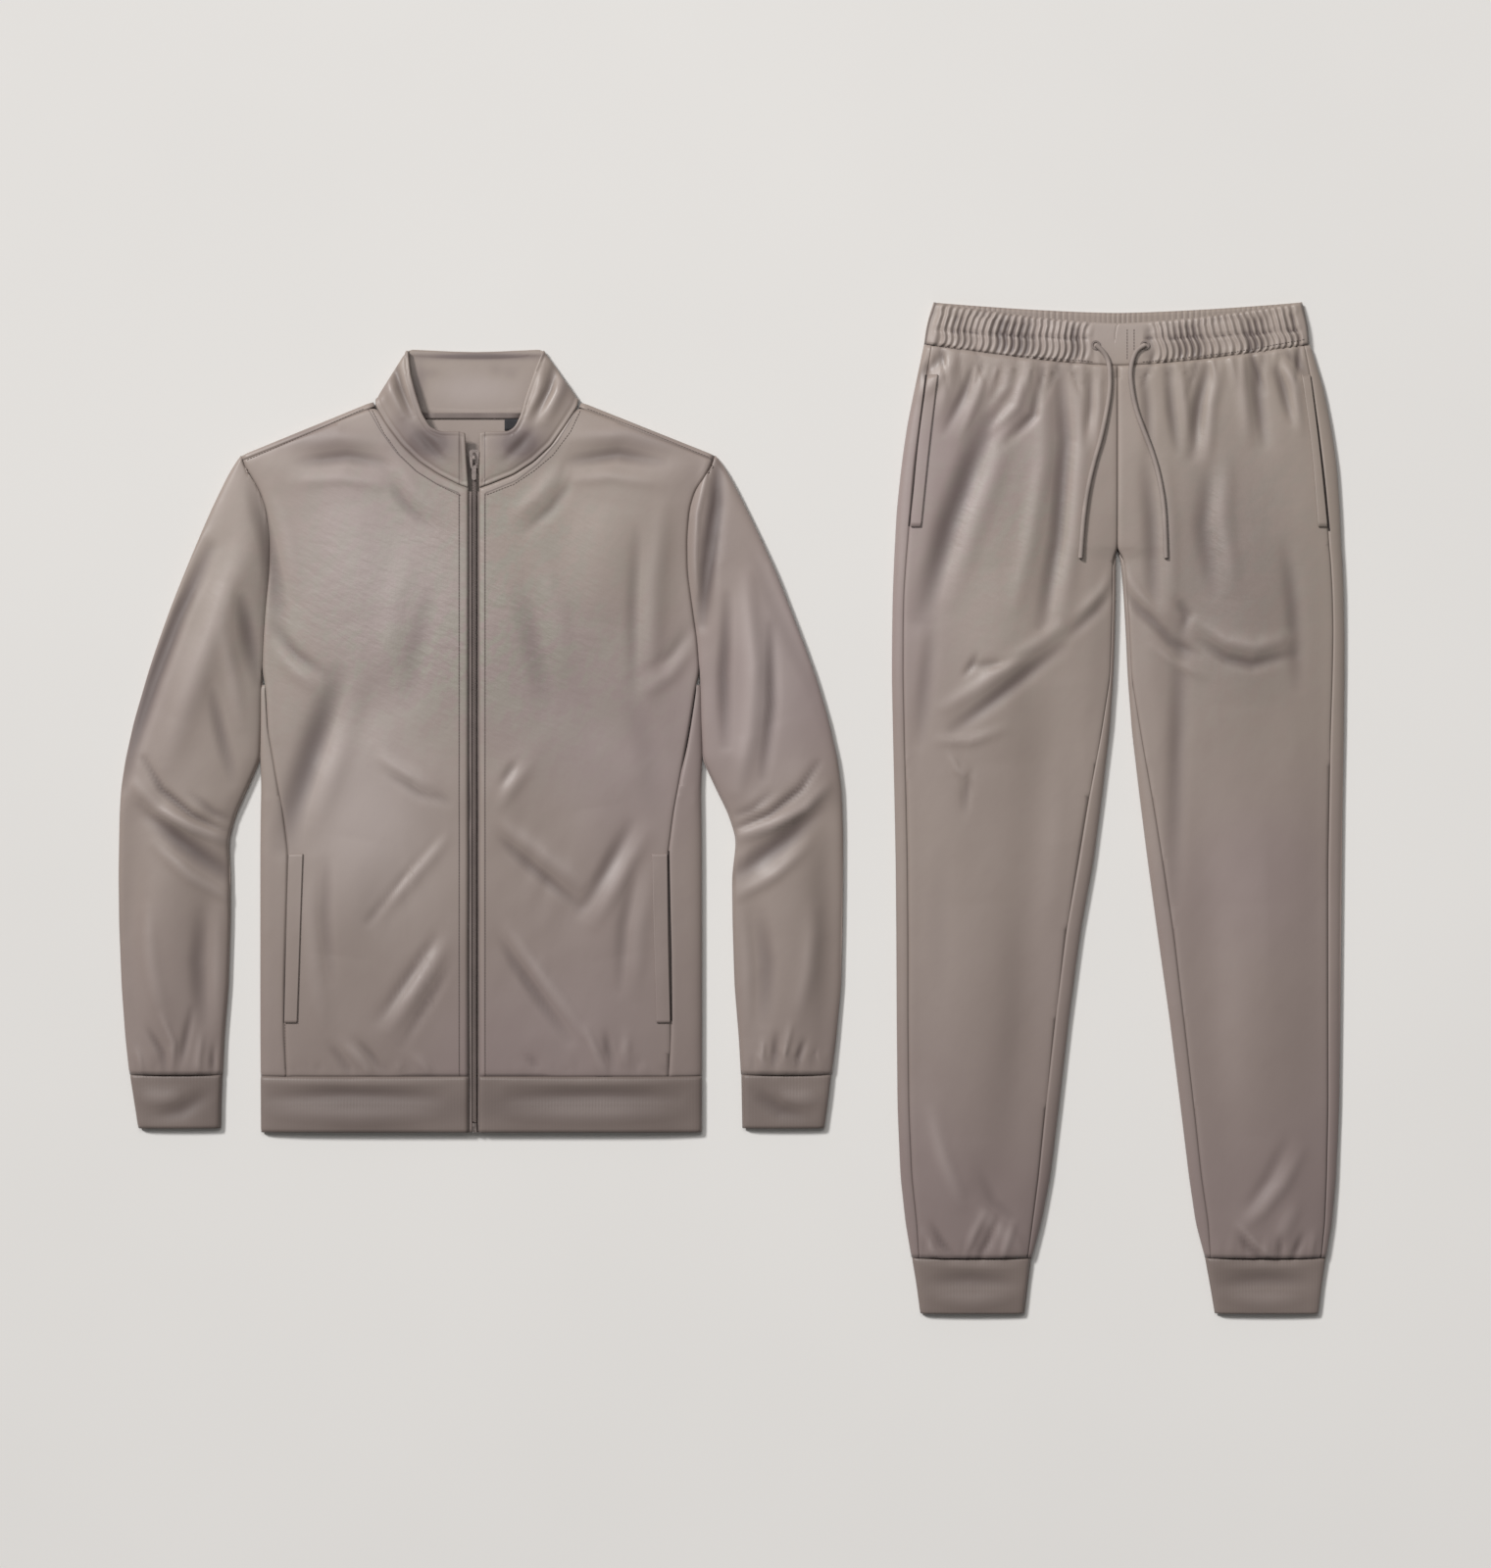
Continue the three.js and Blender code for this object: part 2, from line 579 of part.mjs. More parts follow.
// A tube's section as a strip from its inner edge along the floor, over the outer edge and back on top.
// `closed` is 0 where the inner edge lies open to the body and 1 where it rolls round to a slit.
function tubeSection(width, closed, topAt) {
  const angle = closed * (Math.PI / 2 - HALF_GAP / EDGE_RADIUS);
  const run = Math.min(9, (width - 2 * EDGE_RADIUS) / 5);
  const open = (1 - closed) * HALF_GAP;
  const low = turnedEnd(angle, run, 3).map(([d, ...rest]) => [d + open, ...rest]);
  const round = [0, 60, 120, 180].map((degrees) => {
    const turn = THREE.MathUtils.degToRad(degrees);
    const [sine, cosine] = [Math.sin(turn), Math.cos(turn)];
    return [width - EDGE_RADIUS * (1 - sine), EDGE_RADIUS * (1 - cosine), -sine, cosine];
  });
  round[3][1] = topAt(round[3][0]);
  const high = low.map(([d, z, across, up]) => [d, EDGE_TOP - z, across, -up]).reverse();
  const lift = (d, z, share) => z + share * (topAt(d) - EDGE_TOP);
  const topEnd = high.map(([d, z, across, up], i) => [d, lift(d, z, 1 - (closed * i) / 3), across, up]);
  const flat = [0.25, 0.5, 0.75].map((share) => {
    const d = lerp(width - EDGE_RADIUS, topEnd[0][0], share);
    return [d, topAt(d), 0, -1];
  });
  return [...low, [width / 2, 0, 0, 1], ...round, ...flat, ...topEnd];
}

function tube(side, rows, puff, folds, wall) {
  const sign = SIGN[side];
  const grid = rows.map((row) => {
    const from = new THREE.Vector2(sign * row[side + "Inner"], row.y);
    const to = new THREE.Vector2(sign * row[side + "Outer"], row.outerY ?? row.y);
    const width = from.distanceTo(to);
    const way = to.clone().sub(from).normalize();
    const topAt = (d) => {
      const place = from.clone().addScaledVector(way, d);
      const fade = swell(d, 16) * swell(width - d, 16);
      return EDGE_TOP + fade * (puff + foldHeight(folds, place.x, place.y));
    };
    return tubeSection(width, row.y > UNDERARM && row.outerY ? 0 : 1, topAt).map(([d, z, across, up]) => {
      const place = from.clone().addScaledVector(way, d);
      return point(place.x, place.y, z, new THREE.Vector3(way.x * across, way.y * across, up));
    });
  });
  return clothWall(grid, wall, -sign);
}

function hemBand() {
  const rows = [0, 28, HEM_BAND_TOP - SEAM_GAP].map((y) => {
    const half = (side) => {
      const sign = SIGN[side];
      const edge = read(BODY, side + "Edge", y);
      const top = spread(ZIP.edge[side], edge - EDGE_RADIUS, 7).map((x) => [
        x,
        jacketTop(sign * x, y),
        0,
        -1,
      ]);
      const round = [120, 60, 0].map((degrees) => {
        const angle = THREE.MathUtils.degToRad(degrees);
        const [sine, cosine] = [Math.sin(angle), Math.cos(angle)];
        return [edge - EDGE_RADIUS * (1 - sine), EDGE_RADIUS * (1 - cosine), -sine, cosine];
      });
      return [...top, ...round, [edge / 2, 0, 0, 1]].map(([x, z, across, up]) =>
        point(sign * x, y, z, new THREE.Vector3(sign * across, 0, up)),
      );
    };
    return [...half("right"), point(0, y, 0, UP), ...half("left").reverse()];
  });
  return clothWall(rows, RIB_WALL, -1);
}

// The stand collar as one strip, from its right front edge round the back to its left front edge.
function collar() {
  const grid = COLLAR_HEIGHTS.map((v) => {
    const half = (side) => {
      const sign = SIGN[side];
      const top = "top" + side[0].toUpperCase() + side.slice(1) + "X";
      const at = (row) => {
        const way = new THREE.Vector2(row[top] - row[side + "X"], row.topY - row.y);
        const start = (SEAM_GAP * 1.2) / way.length();
        const share = start + (1 - start) * v;
        return [row[side + "X"] + way.x * share, row.y + way.y * share];
      };
      const front = COLLAR.map((row, i) => {
        const [x, y] = at(row);
        const bulge = COLLAR_SWELL * Math.sin(Math.PI * v) * (i > 0 ? 1 : 0.4);
        return point(sign * x, y, lerp(row.z, row.topZ, v) + bulge, DOWN);
      });
      const outline = new THREE.Vector2(...at(COLLAR_FOLD));
      const { topY, y: baseY } = COLLAR_FOLD;
      const out = new THREE.Vector2(topY - baseY, COLLAR_FOLD[side + "X"] - COLLAR_FOLD[top]).normalize();
      const fold = [50, 0, -50].map((degrees) => {
        const angle = THREE.MathUtils.degToRad(degrees);
        const [reach, lift] = [Math.cos(angle), Math.sin(angle)];
        const place = outline.clone().addScaledVector(out, COLLAR_FOLD_RADIUS * (reach - 1));
        const inward = new THREE.Vector3(-sign * out.x * reach, -out.y * reach, -lift);
        return point(sign * place.x, place.y, COLLAR_FOLD_RADIUS * (1 + lift), inward);
      });
      const back = COLLAR_BACK.map((row) => {
        const [x, y] = at(row);
        return point(sign * x, y, 0, UP);
      });
      return [...front, ...fold, ...back];
    };
    const centreY = lerp(COLLAR_BACK_CENTRE.y + SEAM_GAP, COLLAR_BACK_CENTRE.topY, v);
    return [...half("right"), point(0, centreY, 0, UP), ...half("left").reverse()];
  });
  for (const p of grid[0]) {
    if (Math.abs(p.inward.z) < 1) p.inward.y = 0;
    p.inward.normalize();
  }
  return clothWall(grid, RIB_WALL, -1);
}

// A strip of cloth lying level, its underside at z.
function flatStrip({ x, width, low, high, z, wall }) {
  const rows = [low, high].map((y) => spread(x, x + width, 3).map((at) => point(at, y, z + wall, DOWN)));
  return clothWall(rows, wall, 1);
}

// A zip tape runs under the edge of its front, which its height follows.
function zipTape(side, front) {
  const sign = SIGN[side];
  const rows = [0, 28, HEM_BAND_TOP, ...ZIP_HEIGHTS, ZIP.tapeTop].map((y) => {
    const places = [7, 10, 13].flatMap((x) => [-14, -7, 0, 7, 14].map((step) => [sign * x, y + step]));
    const heights = places.map(([x, at]) => {
      const band = at < HEM_BAND_TOP + 3 ? jacketTop(x, Math.max(0, at)) : 0;
      return Math.max(heightOn(front, x, at), band);
    });
    const z = Math.min(...heights.filter((height) => height > 0)) - RIB_WALL - ZIP.tapeSink;
    return [ZIP.tapeInner, ZIP.tapeOuter].map((x) => point(sign * x, y, z, DOWN));
  });
  return clothWall(rows, ZIP.tapeWall, sign);
}

function zipChain() {
  const rows = [ZIP.chainFoot, 40, ...ZIP_HEIGHTS, ZIP.chainTop].map((y) =>
    [-ZIP.chainHalf, ZIP.chainHalf].map((x) => point(x, y, jacketTop(0, y) - ZIP.chainSink, DOWN)),
  );
  return clothWall(rows, ZIP.chainWall, 1);
}

function solidOf(geometry) {
  const bare = geometry.clone();
  bare.deleteAttribute("normal");
  bare.deleteAttribute("uv");
  const merged = mergeVertices(bare, 1e-4);
  const vertProperties = merged.attributes.position.array;
  const triVerts = new Uint32Array(merged.index.array);
  return new wasm.Manifold(new wasm.Mesh({ numProp: 3, vertProperties, triVerts }));
}

function geometryOf(solid) {
  const { vertProperties, triVerts } = solid.getMesh();
  const geometry = new THREE.BufferGeometry();
  geometry.setAttribute("position", new THREE.Float32BufferAttribute(vertProperties, 3));
  geometry.setIndex([...triVerts]);
  geometry.computeVertexNormals();
  return geometry;
}

// The slider's plate with a low crown over it, its own origin on the chain under the pull's axis.
function sliderBody() {
  const { halfLength, headHalf, footHalf, thick, crownHalf } = SLIDER;
  const plate = new THREE.Shape();
  plate.moveTo(-footHalf, -halfLength);
  plate.lineTo(footHalf, -halfLength);
  plate.quadraticCurveTo(headHalf, 0, headHalf, halfLength - 3);
  plate.quadraticCurveTo(headHalf, halfLength, 0, halfLength);
  plate.quadraticCurveTo(-headHalf, halfLength, -headHalf, halfLength - 3);
  plate.quadraticCurveTo(-headHalf, 0, -footHalf, -halfLength);
  const base = new THREE.ExtrudeGeometry(plate, { depth: thick, bevelEnabled: false, curveSegments: 5 });
  const arch = new THREE.Shape();
  arch.moveTo(-6.4, thick - 0.4);
  arch.absellipse(0, thick - 0.4, 6.4, 4.8, Math.PI, 0, true);
  const inside = new THREE.Path();
  arch.lineTo(4.9, thick - 0.4);
  inside.absellipse(0, thick - 0.4, 4.9, 3.4, 0, Math.PI, false);
  arch.curves.push(...inside.curves);
  const crown = new THREE.ExtrudeGeometry(arch, {
    depth: 2 * crownHalf,
    bevelEnabled: false,
    curveSegments: 8,
  });
  crown.translate(0, 0, -crownHalf);
  crown.rotateX(Math.PI / 2);
  crown.rotateZ(Math.PI / 2);
  return geometryOf(solidOf(base).add(solidOf(crown)));
}

// The pull tab, its own origin on its axis: a bar under the crown, two arms and a tapered plate.
function pullTab() {
  const { half, tipHalf, window: gap, windowLength, length, thick, bar } = PULL;
  const outline = new THREE.Shape();
  outline.moveTo(-half, bar);
  outline.lineTo(-tipHalf, tipHalf - length);
  outline.absarc(0, tipHalf - length, tipHalf, Math.PI, 2 * Math.PI, false);
  outline.lineTo(half, bar);
  const hole = new THREE.Path();
  hole.moveTo(-gap, -bar);
  hole.lineTo(gap, -bar);
  hole.lineTo(gap, -windowLength);
  hole.lineTo(-gap, -windowLength);
  outline.holes.push(hole);
  const geometry = new THREE.ExtrudeGeometry(outline, {
    depth: thick,
    bevelEnabled: false,
    curveSegments: 6,
  });
  return geometry.translate(0, 0, -thick / 2);
}

function zipBox() {
  const { width, height, rise, thick } = ZIP_BOX;
  const middle = jacketTop(0, 0) - rise - thick / 2;
  return new THREE.BoxGeometry(width, height, thick).translate(0, height / 2, middle);
}

// The height of a wall's outer face over one place, read from its own triangles.
function heightOn(geometry, x, y) {
  const place = new THREE.Vector3(x, y, 0);
  const { position } = geometry.attributes;
  const corner = (i) => new THREE.Vector3().fromBufferAttribute(position, geometry.index.getX(i));
  let height = -Infinity;
  for (let i = 0; i < geometry.index.count; i += 3) {
    const corners = [corner(i), corner(i + 1), corner(i + 2)];
    const heights = corners.map(({ z }) => z);
    corners.forEach((c) => c.setZ(0));
    const triangle = new THREE.Triangle(...corners);
    if (triangle.getArea() < 1e-6) continue;
    const share = triangle.getBarycoord(place, new THREE.Vector3());
    if (!share || Math.min(share.x, share.y, share.z) < -1e-6) continue;
    height = Math.max(height, share.x * heights[0] + share.y * heights[1] + share.z * heights[2]);
  }
  return height;
}

function highestNear(geometries, x, y, reach) {
  const steps = [-1, -0.5, 0, 0.5, 1];
  const heights = steps.flatMap((i) =>
    steps.flatMap((j) => geometries.map((g) => heightOn(g, x + i * reach, y + j * reach))),
  );
  return Math.max(...heights);
}

// A welt lies on its panel along the pocket mouth and is a little raised at its middle.
function welt(side, rows, panels) {
  const sign = SIGN[side];
  const heights = spread(rows[0].y, rows.at(-1).y, 9);
  const grid = heights.map((y) =>
    [0, 0.5, 1].map((share) => {
      const x = sign * lerp(read(rows, side + "In", y), read(rows, side + "Out", y), share);
      const lift = LIE_GAP + WELT_WALL + (share === 0.5 ? 0.4 : 0);
      return point(x, y, highestNear(panels, x, y, 5) + lift, DOWN);
    }),
  );
  return clothWall(grid, WELT_WALL, sign);
}

function legRows(side) {
  const seatTop = SEAT_HEIGHTS.length + LEG_HEIGHTS.length;
  return [...LEG_HEIGHTS, ...SEAT_HEIGHTS, null].map((y, i) => ({
    y,
    atWaist: i === seatTop,
    parted: clamp((CROTCH - (y ?? CROTCH)) / (CROTCH - 768), 0, 1),
    look: (name) => read(LEGS, side + name, y ?? 985),
  }));
}

function frontLeg(side) {
  const sign = SIGN[side];
  const rows = legRows(side).map(({ y, atWaist, look }) =>
    spread(look("Inseam") + HALF_GAP, look("Side") - HALF_GAP, 11).map((across) => {
      const x = sign * across;
      const height = atWaist ? waistSeamY(x) - SEAM_GAP : y;
      return point(x, height, joggersTop(side, x, height), DOWN);
    }),
  );
  return clothWall(rows, CLOTH_WALL, sign);
}

function backLeg(side) {
  const sign = SIGN[side];
  const rows = legRows(side).map(({ y, atWaist, parted, look }) => {
    const [outer, inner] = [look("Outer"), look("Inner")];
    const heightAt = (x) => (atWaist ? waistSeamY(x) - SEAM_GAP : y);
    const topAt = (across) => joggersTop(side, sign * across, heightAt(sign * across));
    const outerEnd = overEdge(outer - look("Side") - HALF_GAP, outer * 0.3, (d) => topAt(outer - d));
    const innerEnd =
      parted === 1
        ? overEdge(look("Inseam") - inner - HALF_GAP, SEAT_RUN + EDGE_RADIUS, (d) => topAt(inner + d))
        : turnedEnd(parted * Math.PI, SEAT_RUN, 5);
    const open = parted === 1 ? 0 : (1 - parted) * HALF_GAP;
    const outerPoints = outerEnd.map(([d, z, across, up]) => [outer - d, z, -across, up]);
    const innerPoints = innerEnd.reverse().map(([d, z, across, up]) => [inner + d + open, z, across, up]);
    const middle = lerp(outerPoints.at(-1)[0], innerPoints[0][0], 0.5);
    return [...outerPoints, [middle, 0, 0, 1], ...innerPoints].map(([x, z, across, up]) =>
      point(sign * x, heightAt(sign * x), z, new THREE.Vector3(sign * across, 0, up)),
    );
  });
  return clothWall(rows, CLOTH_WALL, sign);
}

function waistLine(v, line) {
  const seam = (x) => waistSeamY(x) + SEAM_GAP;
  return (x) => lerp(seam(x), line.y + line.rise * (Math.abs(x) / WAIST_HALF) ** 1.5, v);
}

// The two ends of a waistband row, rolled up to the side folds.
function waistSides(edges, round, heightAt) {
  const ends = edges.map((edge, i) => {
    const sign = SIGN[SIDES[i]];
    return round.map(([d, z, across, up]) =>
      point(sign * (edge - d), heightAt(edge), z, new THREE.Vector3(-sign * across, 0, up)),
    );
  });
  return [ends[0], ends[1].reverse()];
}

// The front of the waistband: a quarter round at each side, and gathers between them.
function waistFront() {
  const rows = WAIST_HEIGHTS.map((v) => {
    const edges = SIDES.map((side) => read(WAIST_EDGE, side, v));
    const heightAt = waistLine(v, WAIST_TOP);
    const low = HALF_GAP / WAIST_RADIUS;
    const round = [low, Math.PI / 4].map((angle) => [
      WAIST_RADIUS * (1 - Math.cos(angle)),
      WAIST_RADIUS * (1 + Math.sin(angle)),
      Math.cos(angle),
      -Math.sin(angle),
    ]);
    const [from, to] = [WAIST_RADIUS - edges[0], edges[1] - WAIST_RADIUS];
    const top = spread(from, to, 2 * GATHERS.front + 1).map((plain, i) => {
      const { plainFrom, plainTo, blend, lean } = GATHERS;
      const opened = ease(plainFrom - blend, plainFrom, plain);
      const closed = ease(plainTo, plainTo + blend, plain);
      const gathered = 1 - opened * (1 - closed);
      const ends = i === 0 || i === 2 * GATHERS.front ? 0 : 1;
      const slant = lean * (0.5 - v) * Math.sign(plain);
      const x = plain + ends * slant * swell(Math.min(plain - from, to - plain), 12);
      const crest = i % 2 ? 1 : -0.25;
      const uneven = 0.75 + 0.35 * Math.sin(i * 2.3);
      const depth = GATHERS.depth * (0.7 + 0.5 * Math.sin(Math.PI * v)) * gathered * ends * uneven;
      const puff = WAIST_PUFF * swell(Math.min(plain - from, to - plain), 20);
      return [x, 2 * WAIST_RADIUS + puff + depth * crest];
    });
    const [first, last] = waistSides(edges, round, heightAt);
    return [...first, ...top.map(([x, z]) => point(x, heightAt(x), z, DOWN)), ...last];
  });
  return clothWall(rows, WAIST_WALL, 1);
}

// The back of the waistband is flat where it rests, with its gathers on the upper face.
function waistBack() {
  const rows = WAIST_BACK_HEIGHTS.map((v) => {
    const edges = SIDES.map((side) => read(WAIST_EDGE, side, v));
    const heightAt = waistLine(v, WAIST_BACK_TOP);
    const low = HALF_GAP / WAIST_RADIUS;
    const round = [low, Math.PI / 4].map((angle) => [
      WAIST_RADIUS * (1 - Math.cos(angle)),
      WAIST_RADIUS * (1 - Math.sin(angle)),
      Math.cos(angle),
      Math.sin(angle),
    ]);
    const [from, to] = [WAIST_RADIUS - edges[0], edges[1] - WAIST_RADIUS];
    const floor = spread(from, to, 2 * GATHERS.back + 1).map((x, i) => {
      const ends = i === 0 || i === 2 * GATHERS.back ? 0 : 1;
      return [x, 1 + (i % 2 ? 0.55 * ends : 0)];
    });
    const [first, last] = waistSides(edges, round, heightAt);
    const floorPoints = floor.map(([x, thicker]) => {
      return point(x, heightAt(x), 0, UP.clone().multiplyScalar(thicker));
    });
    return [...first, ...floorPoints, ...last];
  });
  return clothWall(rows, WAIST_WALL, -1);
}

function cord(side, surfaces) {
  const points = CORD_ROUTE[side].map(([x, y]) => {
    const z = highestNear(surfaces, x, y, 6) + CORD_RADIUS + LIE_GAP;
    return new THREE.Vector3(x, y, z);
  });
  points[0].z += 1.5;
  const section = Array.from({ length: CORD_SIDES }, (_, i) => {
    const angle = (2 * Math.PI * i) / CORD_SIDES;
    return new THREE.Vector2(CORD_RADIUS * Math.cos(angle), CORD_RADIUS * Math.sin(angle));
  });
  return new THREE.ExtrudeGeometry(new THREE.Shape(section), {
    steps: 2 * (points.length - 1),
    bevelEnabled: false,
    extrudePath: new THREE.CatmullRomCurve3(points, false, "centripetal"),
  });
}

function eyelet(side, surfaces) {
  const [x, y] = CORD_ROUTE[side][0];
  const { outer, inner, thick } = EYELET;
  const profile = [[inner, 0], [outer, 0], [outer, thick], [inner, thick], [inner, 0]];
  const ring = new THREE.LatheGeometry(profile.map(([r, z]) => new THREE.Vector2(r, z)), 14);
  ring.rotateX(Math.PI / 2);
  return geometryOf(solidOf(ring)).translate(x, y, highestNear(surfaces, x, y, outer) + SEAM_GAP);
}

function buildJacket() {
  const jacket = new THREE.Group();
  const fronts = {};
  jacket.add(piece("jacket_back", jacketBack(), FABRIC));
  for (const side of SIDES) {
    fronts[side] = jacketFront(side);
    jacket.add(piece("jacket_front_" + side, fronts[side], FABRIC));
    jacket.add(piece("side_panel_" + side, sidePanel(side), FABRIC));
    jacket.add(piece("shoulder_strip_" + side, shoulderStrip(side), FABRIC));
    jacket.add(piece("sleeve_" + side, tube(side, SLEEVE, SLEEVE_PUFF, SLEEVE_FOLDS, CLOTH_WALL), FABRIC));
    jacket.add(piece("sleeve_cuff_" + side, tube(side, SLEEVE_CUFF, 1.5, [], RIB_WALL), RIB));
    jacket.add(piece("jacket_welt_" + side, welt(side, JACKET_WELT, [fronts[side]]), FABRIC));
    jacket.add(piece("zip_tape_" + side, zipTape(side, fronts[side]), ZIP_CLOTH));
  }
  jacket.add(piece("hem_band", hemBand(), RIB));
  jacket.add(piece("collar", collar(), FABRIC));
  jacket.add(piece("neck_tape", flatStrip(NECK_TAPE), ZIP_CLOTH));
  jacket.add(piece("neck_label", flatStrip(NECK_LABEL), LABEL_CLOTH));
  jacket.add(piece("zip_chain", zipChain(), ZIP_METAL));
  jacket.add(piece("zip_box", zipBox(), ZIP_METAL));
  const sliderZ = jacketTop(0, SLIDER.y) + 0.1;
  const slider = piece("zip_slider", sliderBody(), ZIP_METAL);
  slider.position.set(0, SLIDER.y, sliderZ);
  const pull = piece("zip_pull", pullTab(), ZIP_METAL);
  pull.position.set(0, SLIDER.y, sliderZ + PULL_AXIS_RISE);
  jacket.add(slider, pull);
  return jacket;
}

function buildJoggers() {
  const joggers = new THREE.Group();
  const waist = waistFront();
  const surfaces = [waist];
  joggers.add(piece("waistband_front", waist, FABRIC));
  joggers.add(piece("waistband_back", waistBack(), FABRIC));
  for (const side of SIDES) {
    const front = frontLeg(side);
    surfaces.push(front);
    joggers.add(piece("leg_front_" + side, front, FABRIC));
    joggers.add(piece("leg_back_" + side, backLeg(side), FABRIC));
    joggers.add(piece("ankle_cuff_" + side, tube(side, ANKLE_CUFF, 1.5, [], RIB_WALL), RIB));
    joggers.add(piece("jogger_welt_" + side, welt(side, JOGGER_WELT, [front]), FABRIC));
  }
  for (const side of SIDES) {
    joggers.add(piece("eyelet_" + side, eyelet(side, [waist]), RIB));
    joggers.add(piece("drawcord_" + side, cord(side, surfaces), CORD_CLOTH));
  }
  return joggers;
}

const tracksuit = new THREE.Group();
const jacket = buildJacket();
const joggers = buildJoggers();
jacket.position.set(...JACKET_PLACE);
joggers.position.set(...JOGGERS_PLACE);
tracksuit.add(jacket, joggers);

export default tracksuit;
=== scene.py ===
import math
import random

import bmesh
import bpy
import numpy as np
from mathutils import Matrix, Vector
from mathutils.bvhtree import BVHTree


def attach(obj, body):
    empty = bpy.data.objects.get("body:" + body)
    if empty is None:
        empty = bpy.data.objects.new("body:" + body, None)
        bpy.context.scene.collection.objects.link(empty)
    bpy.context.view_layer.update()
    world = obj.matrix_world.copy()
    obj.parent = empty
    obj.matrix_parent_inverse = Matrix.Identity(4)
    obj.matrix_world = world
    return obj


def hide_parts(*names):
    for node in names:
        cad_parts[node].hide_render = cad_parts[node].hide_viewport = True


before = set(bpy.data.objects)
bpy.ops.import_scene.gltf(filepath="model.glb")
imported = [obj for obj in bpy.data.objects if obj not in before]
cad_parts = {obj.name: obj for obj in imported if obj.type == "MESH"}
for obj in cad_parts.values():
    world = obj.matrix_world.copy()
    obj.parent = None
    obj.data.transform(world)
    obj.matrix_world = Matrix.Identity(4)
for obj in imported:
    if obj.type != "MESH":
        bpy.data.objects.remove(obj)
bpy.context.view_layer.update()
mm = 0.001
sides = {"right": -1, "left": 1}  # the wearer's, so right is at -X

# Each garment's own millimetre frame: the jacket's starts at the foot of its zip, the joggers' at the
# cuffs, under the centre seam.
garmentPlace = {"jacket": Vector((-261.85, -330.84, 0)), "joggers": Vector((393.75, -515.84, 0))}


def placed(garment, x, y, z=0):
    return (garmentPlace[garment] + Vector((x, y, z))) * mm


def linkObject(name, mesh):
    obj = bpy.data.objects.new(name, mesh)
    bpy.context.scene.collection.objects.link(obj)
    return obj


def meshFrom(name, bm):
    mesh = bpy.data.meshes.new(name)
    bm.to_mesh(mesh)
    bm.free()
    return mesh


def finishPiece(obj, material, body="garments", replaced=()):
    obj.data.materials.clear()
    obj.data.materials.append(material)
    if replaced:
        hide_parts(*replaced)
    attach(obj, body)
    return obj


print("camera")
shot = {"lens": 80, "sensor": 36, "x": 14.2, "y": 24.2, "height": 3562}
cameraData = bpy.data.cameras.new("overhead")
cameraData.lens = shot["lens"]
cameraData.sensor_width = shot["sensor"]
camera = linkObject("overhead", cameraData)
camera.location = Vector((shot["x"], shot["y"], shot["height"])) * mm
bpy.context.scene.camera = camera

print("finishes")


def newMaterial(name, roughness, **sockets):
    material = bpy.data.materials.new(name)
    material.use_nodes = True
    tree = material.node_tree
    shader = tree.nodes["Principled BSDF"]
    shader.inputs["Roughness"].default_value = roughness
    for socket, value in sockets.items():
        shader.inputs[socket.replace("_", " ")].default_value = value
    coordinates = tree.nodes.new("ShaderNodeTexCoord")
    return material, tree, shader, coordinates.outputs["Object"]


def addNode(tree, kind, inputs=(), **settings):
    node = tree.nodes.new(kind)
    for key, value in settings.items():
        setattr(node, key, value)
    for socket, value in dict(inputs).items():
        if hasattr(value, "is_output"):
            tree.links.new(value, node.inputs[socket])
        else:
            node.inputs[socket].default_value = value
    return node


def noiseField(tree, place, scale, detail=3.0, stretch=(1, 1, 1), turn=0.0, roughness=0.5):
    # the streaks run along their turn, and are finer across it by the stretch
    mapping = addNode(tree, "ShaderNodeMapping", {"Vector": place}, vector_type="TEXTURE")
    mapping.inputs["Rotation"].default_value = (0, 0, math.radians(turn))
    mapping.inputs["Scale"].default_value = tuple(1 / s for s in stretch)
    noise = addNode(
        tree, "ShaderNodeTexNoise",
        {"Vector": mapping.outputs[0], "Scale": scale, "Detail": detail, "Roughness": roughness},
    )
    return noise.outputs["Fac"]


def spread(tree, value, low, high, fromLow=0.3, fromHigh=0.7):
    field = addNode(
        tree, "ShaderNodeMapRange",
        {"Value": value, "From Min": fromLow, "From Max": fromHigh, "To Min": low, "To Max": high},
        clamp=True,
    )
    return field.outputs[0]


def blendColours(tree, amount, first, second):
    mix = addNode(tree, "ShaderNodeMix", data_type="RGBA")
    for socket, value in ((0, amount), (6, first), (7, second)):
        if hasattr(value, "is_output"):
            tree.links.new(value, mix.inputs[socket])
        else:
            mix.inputs[socket].default_value = value
    return mix.outputs[2]


def bump(tree, height, strength, distance, before=None):
    inputs = {"Height": height, "Strength": strength, "Distance": distance}
    if before is not None:
        inputs["Normal"] = before
    return addNode(tree, "ShaderNodeBump", inputs).outputs[0]


def waveField(tree, place, pitch, direction="X", distortion=0.0):
    wave = addNode(
        tree, "ShaderNodeTexWave",
        {"Vector": place, "Scale": 1 / (pitch * mm * 20) * math.pi, "Distortion": distortion},
        wave_type="BANDS", bands_direction=direction, wave_profile="SIN",
    )
    return wave.outputs["Fac"]


def paint(tree, shader, colour, normal):
    tree.links.new(colour, shader.inputs["Base Color"])
    tree.links.new(normal, shader.inputs["Normal"])


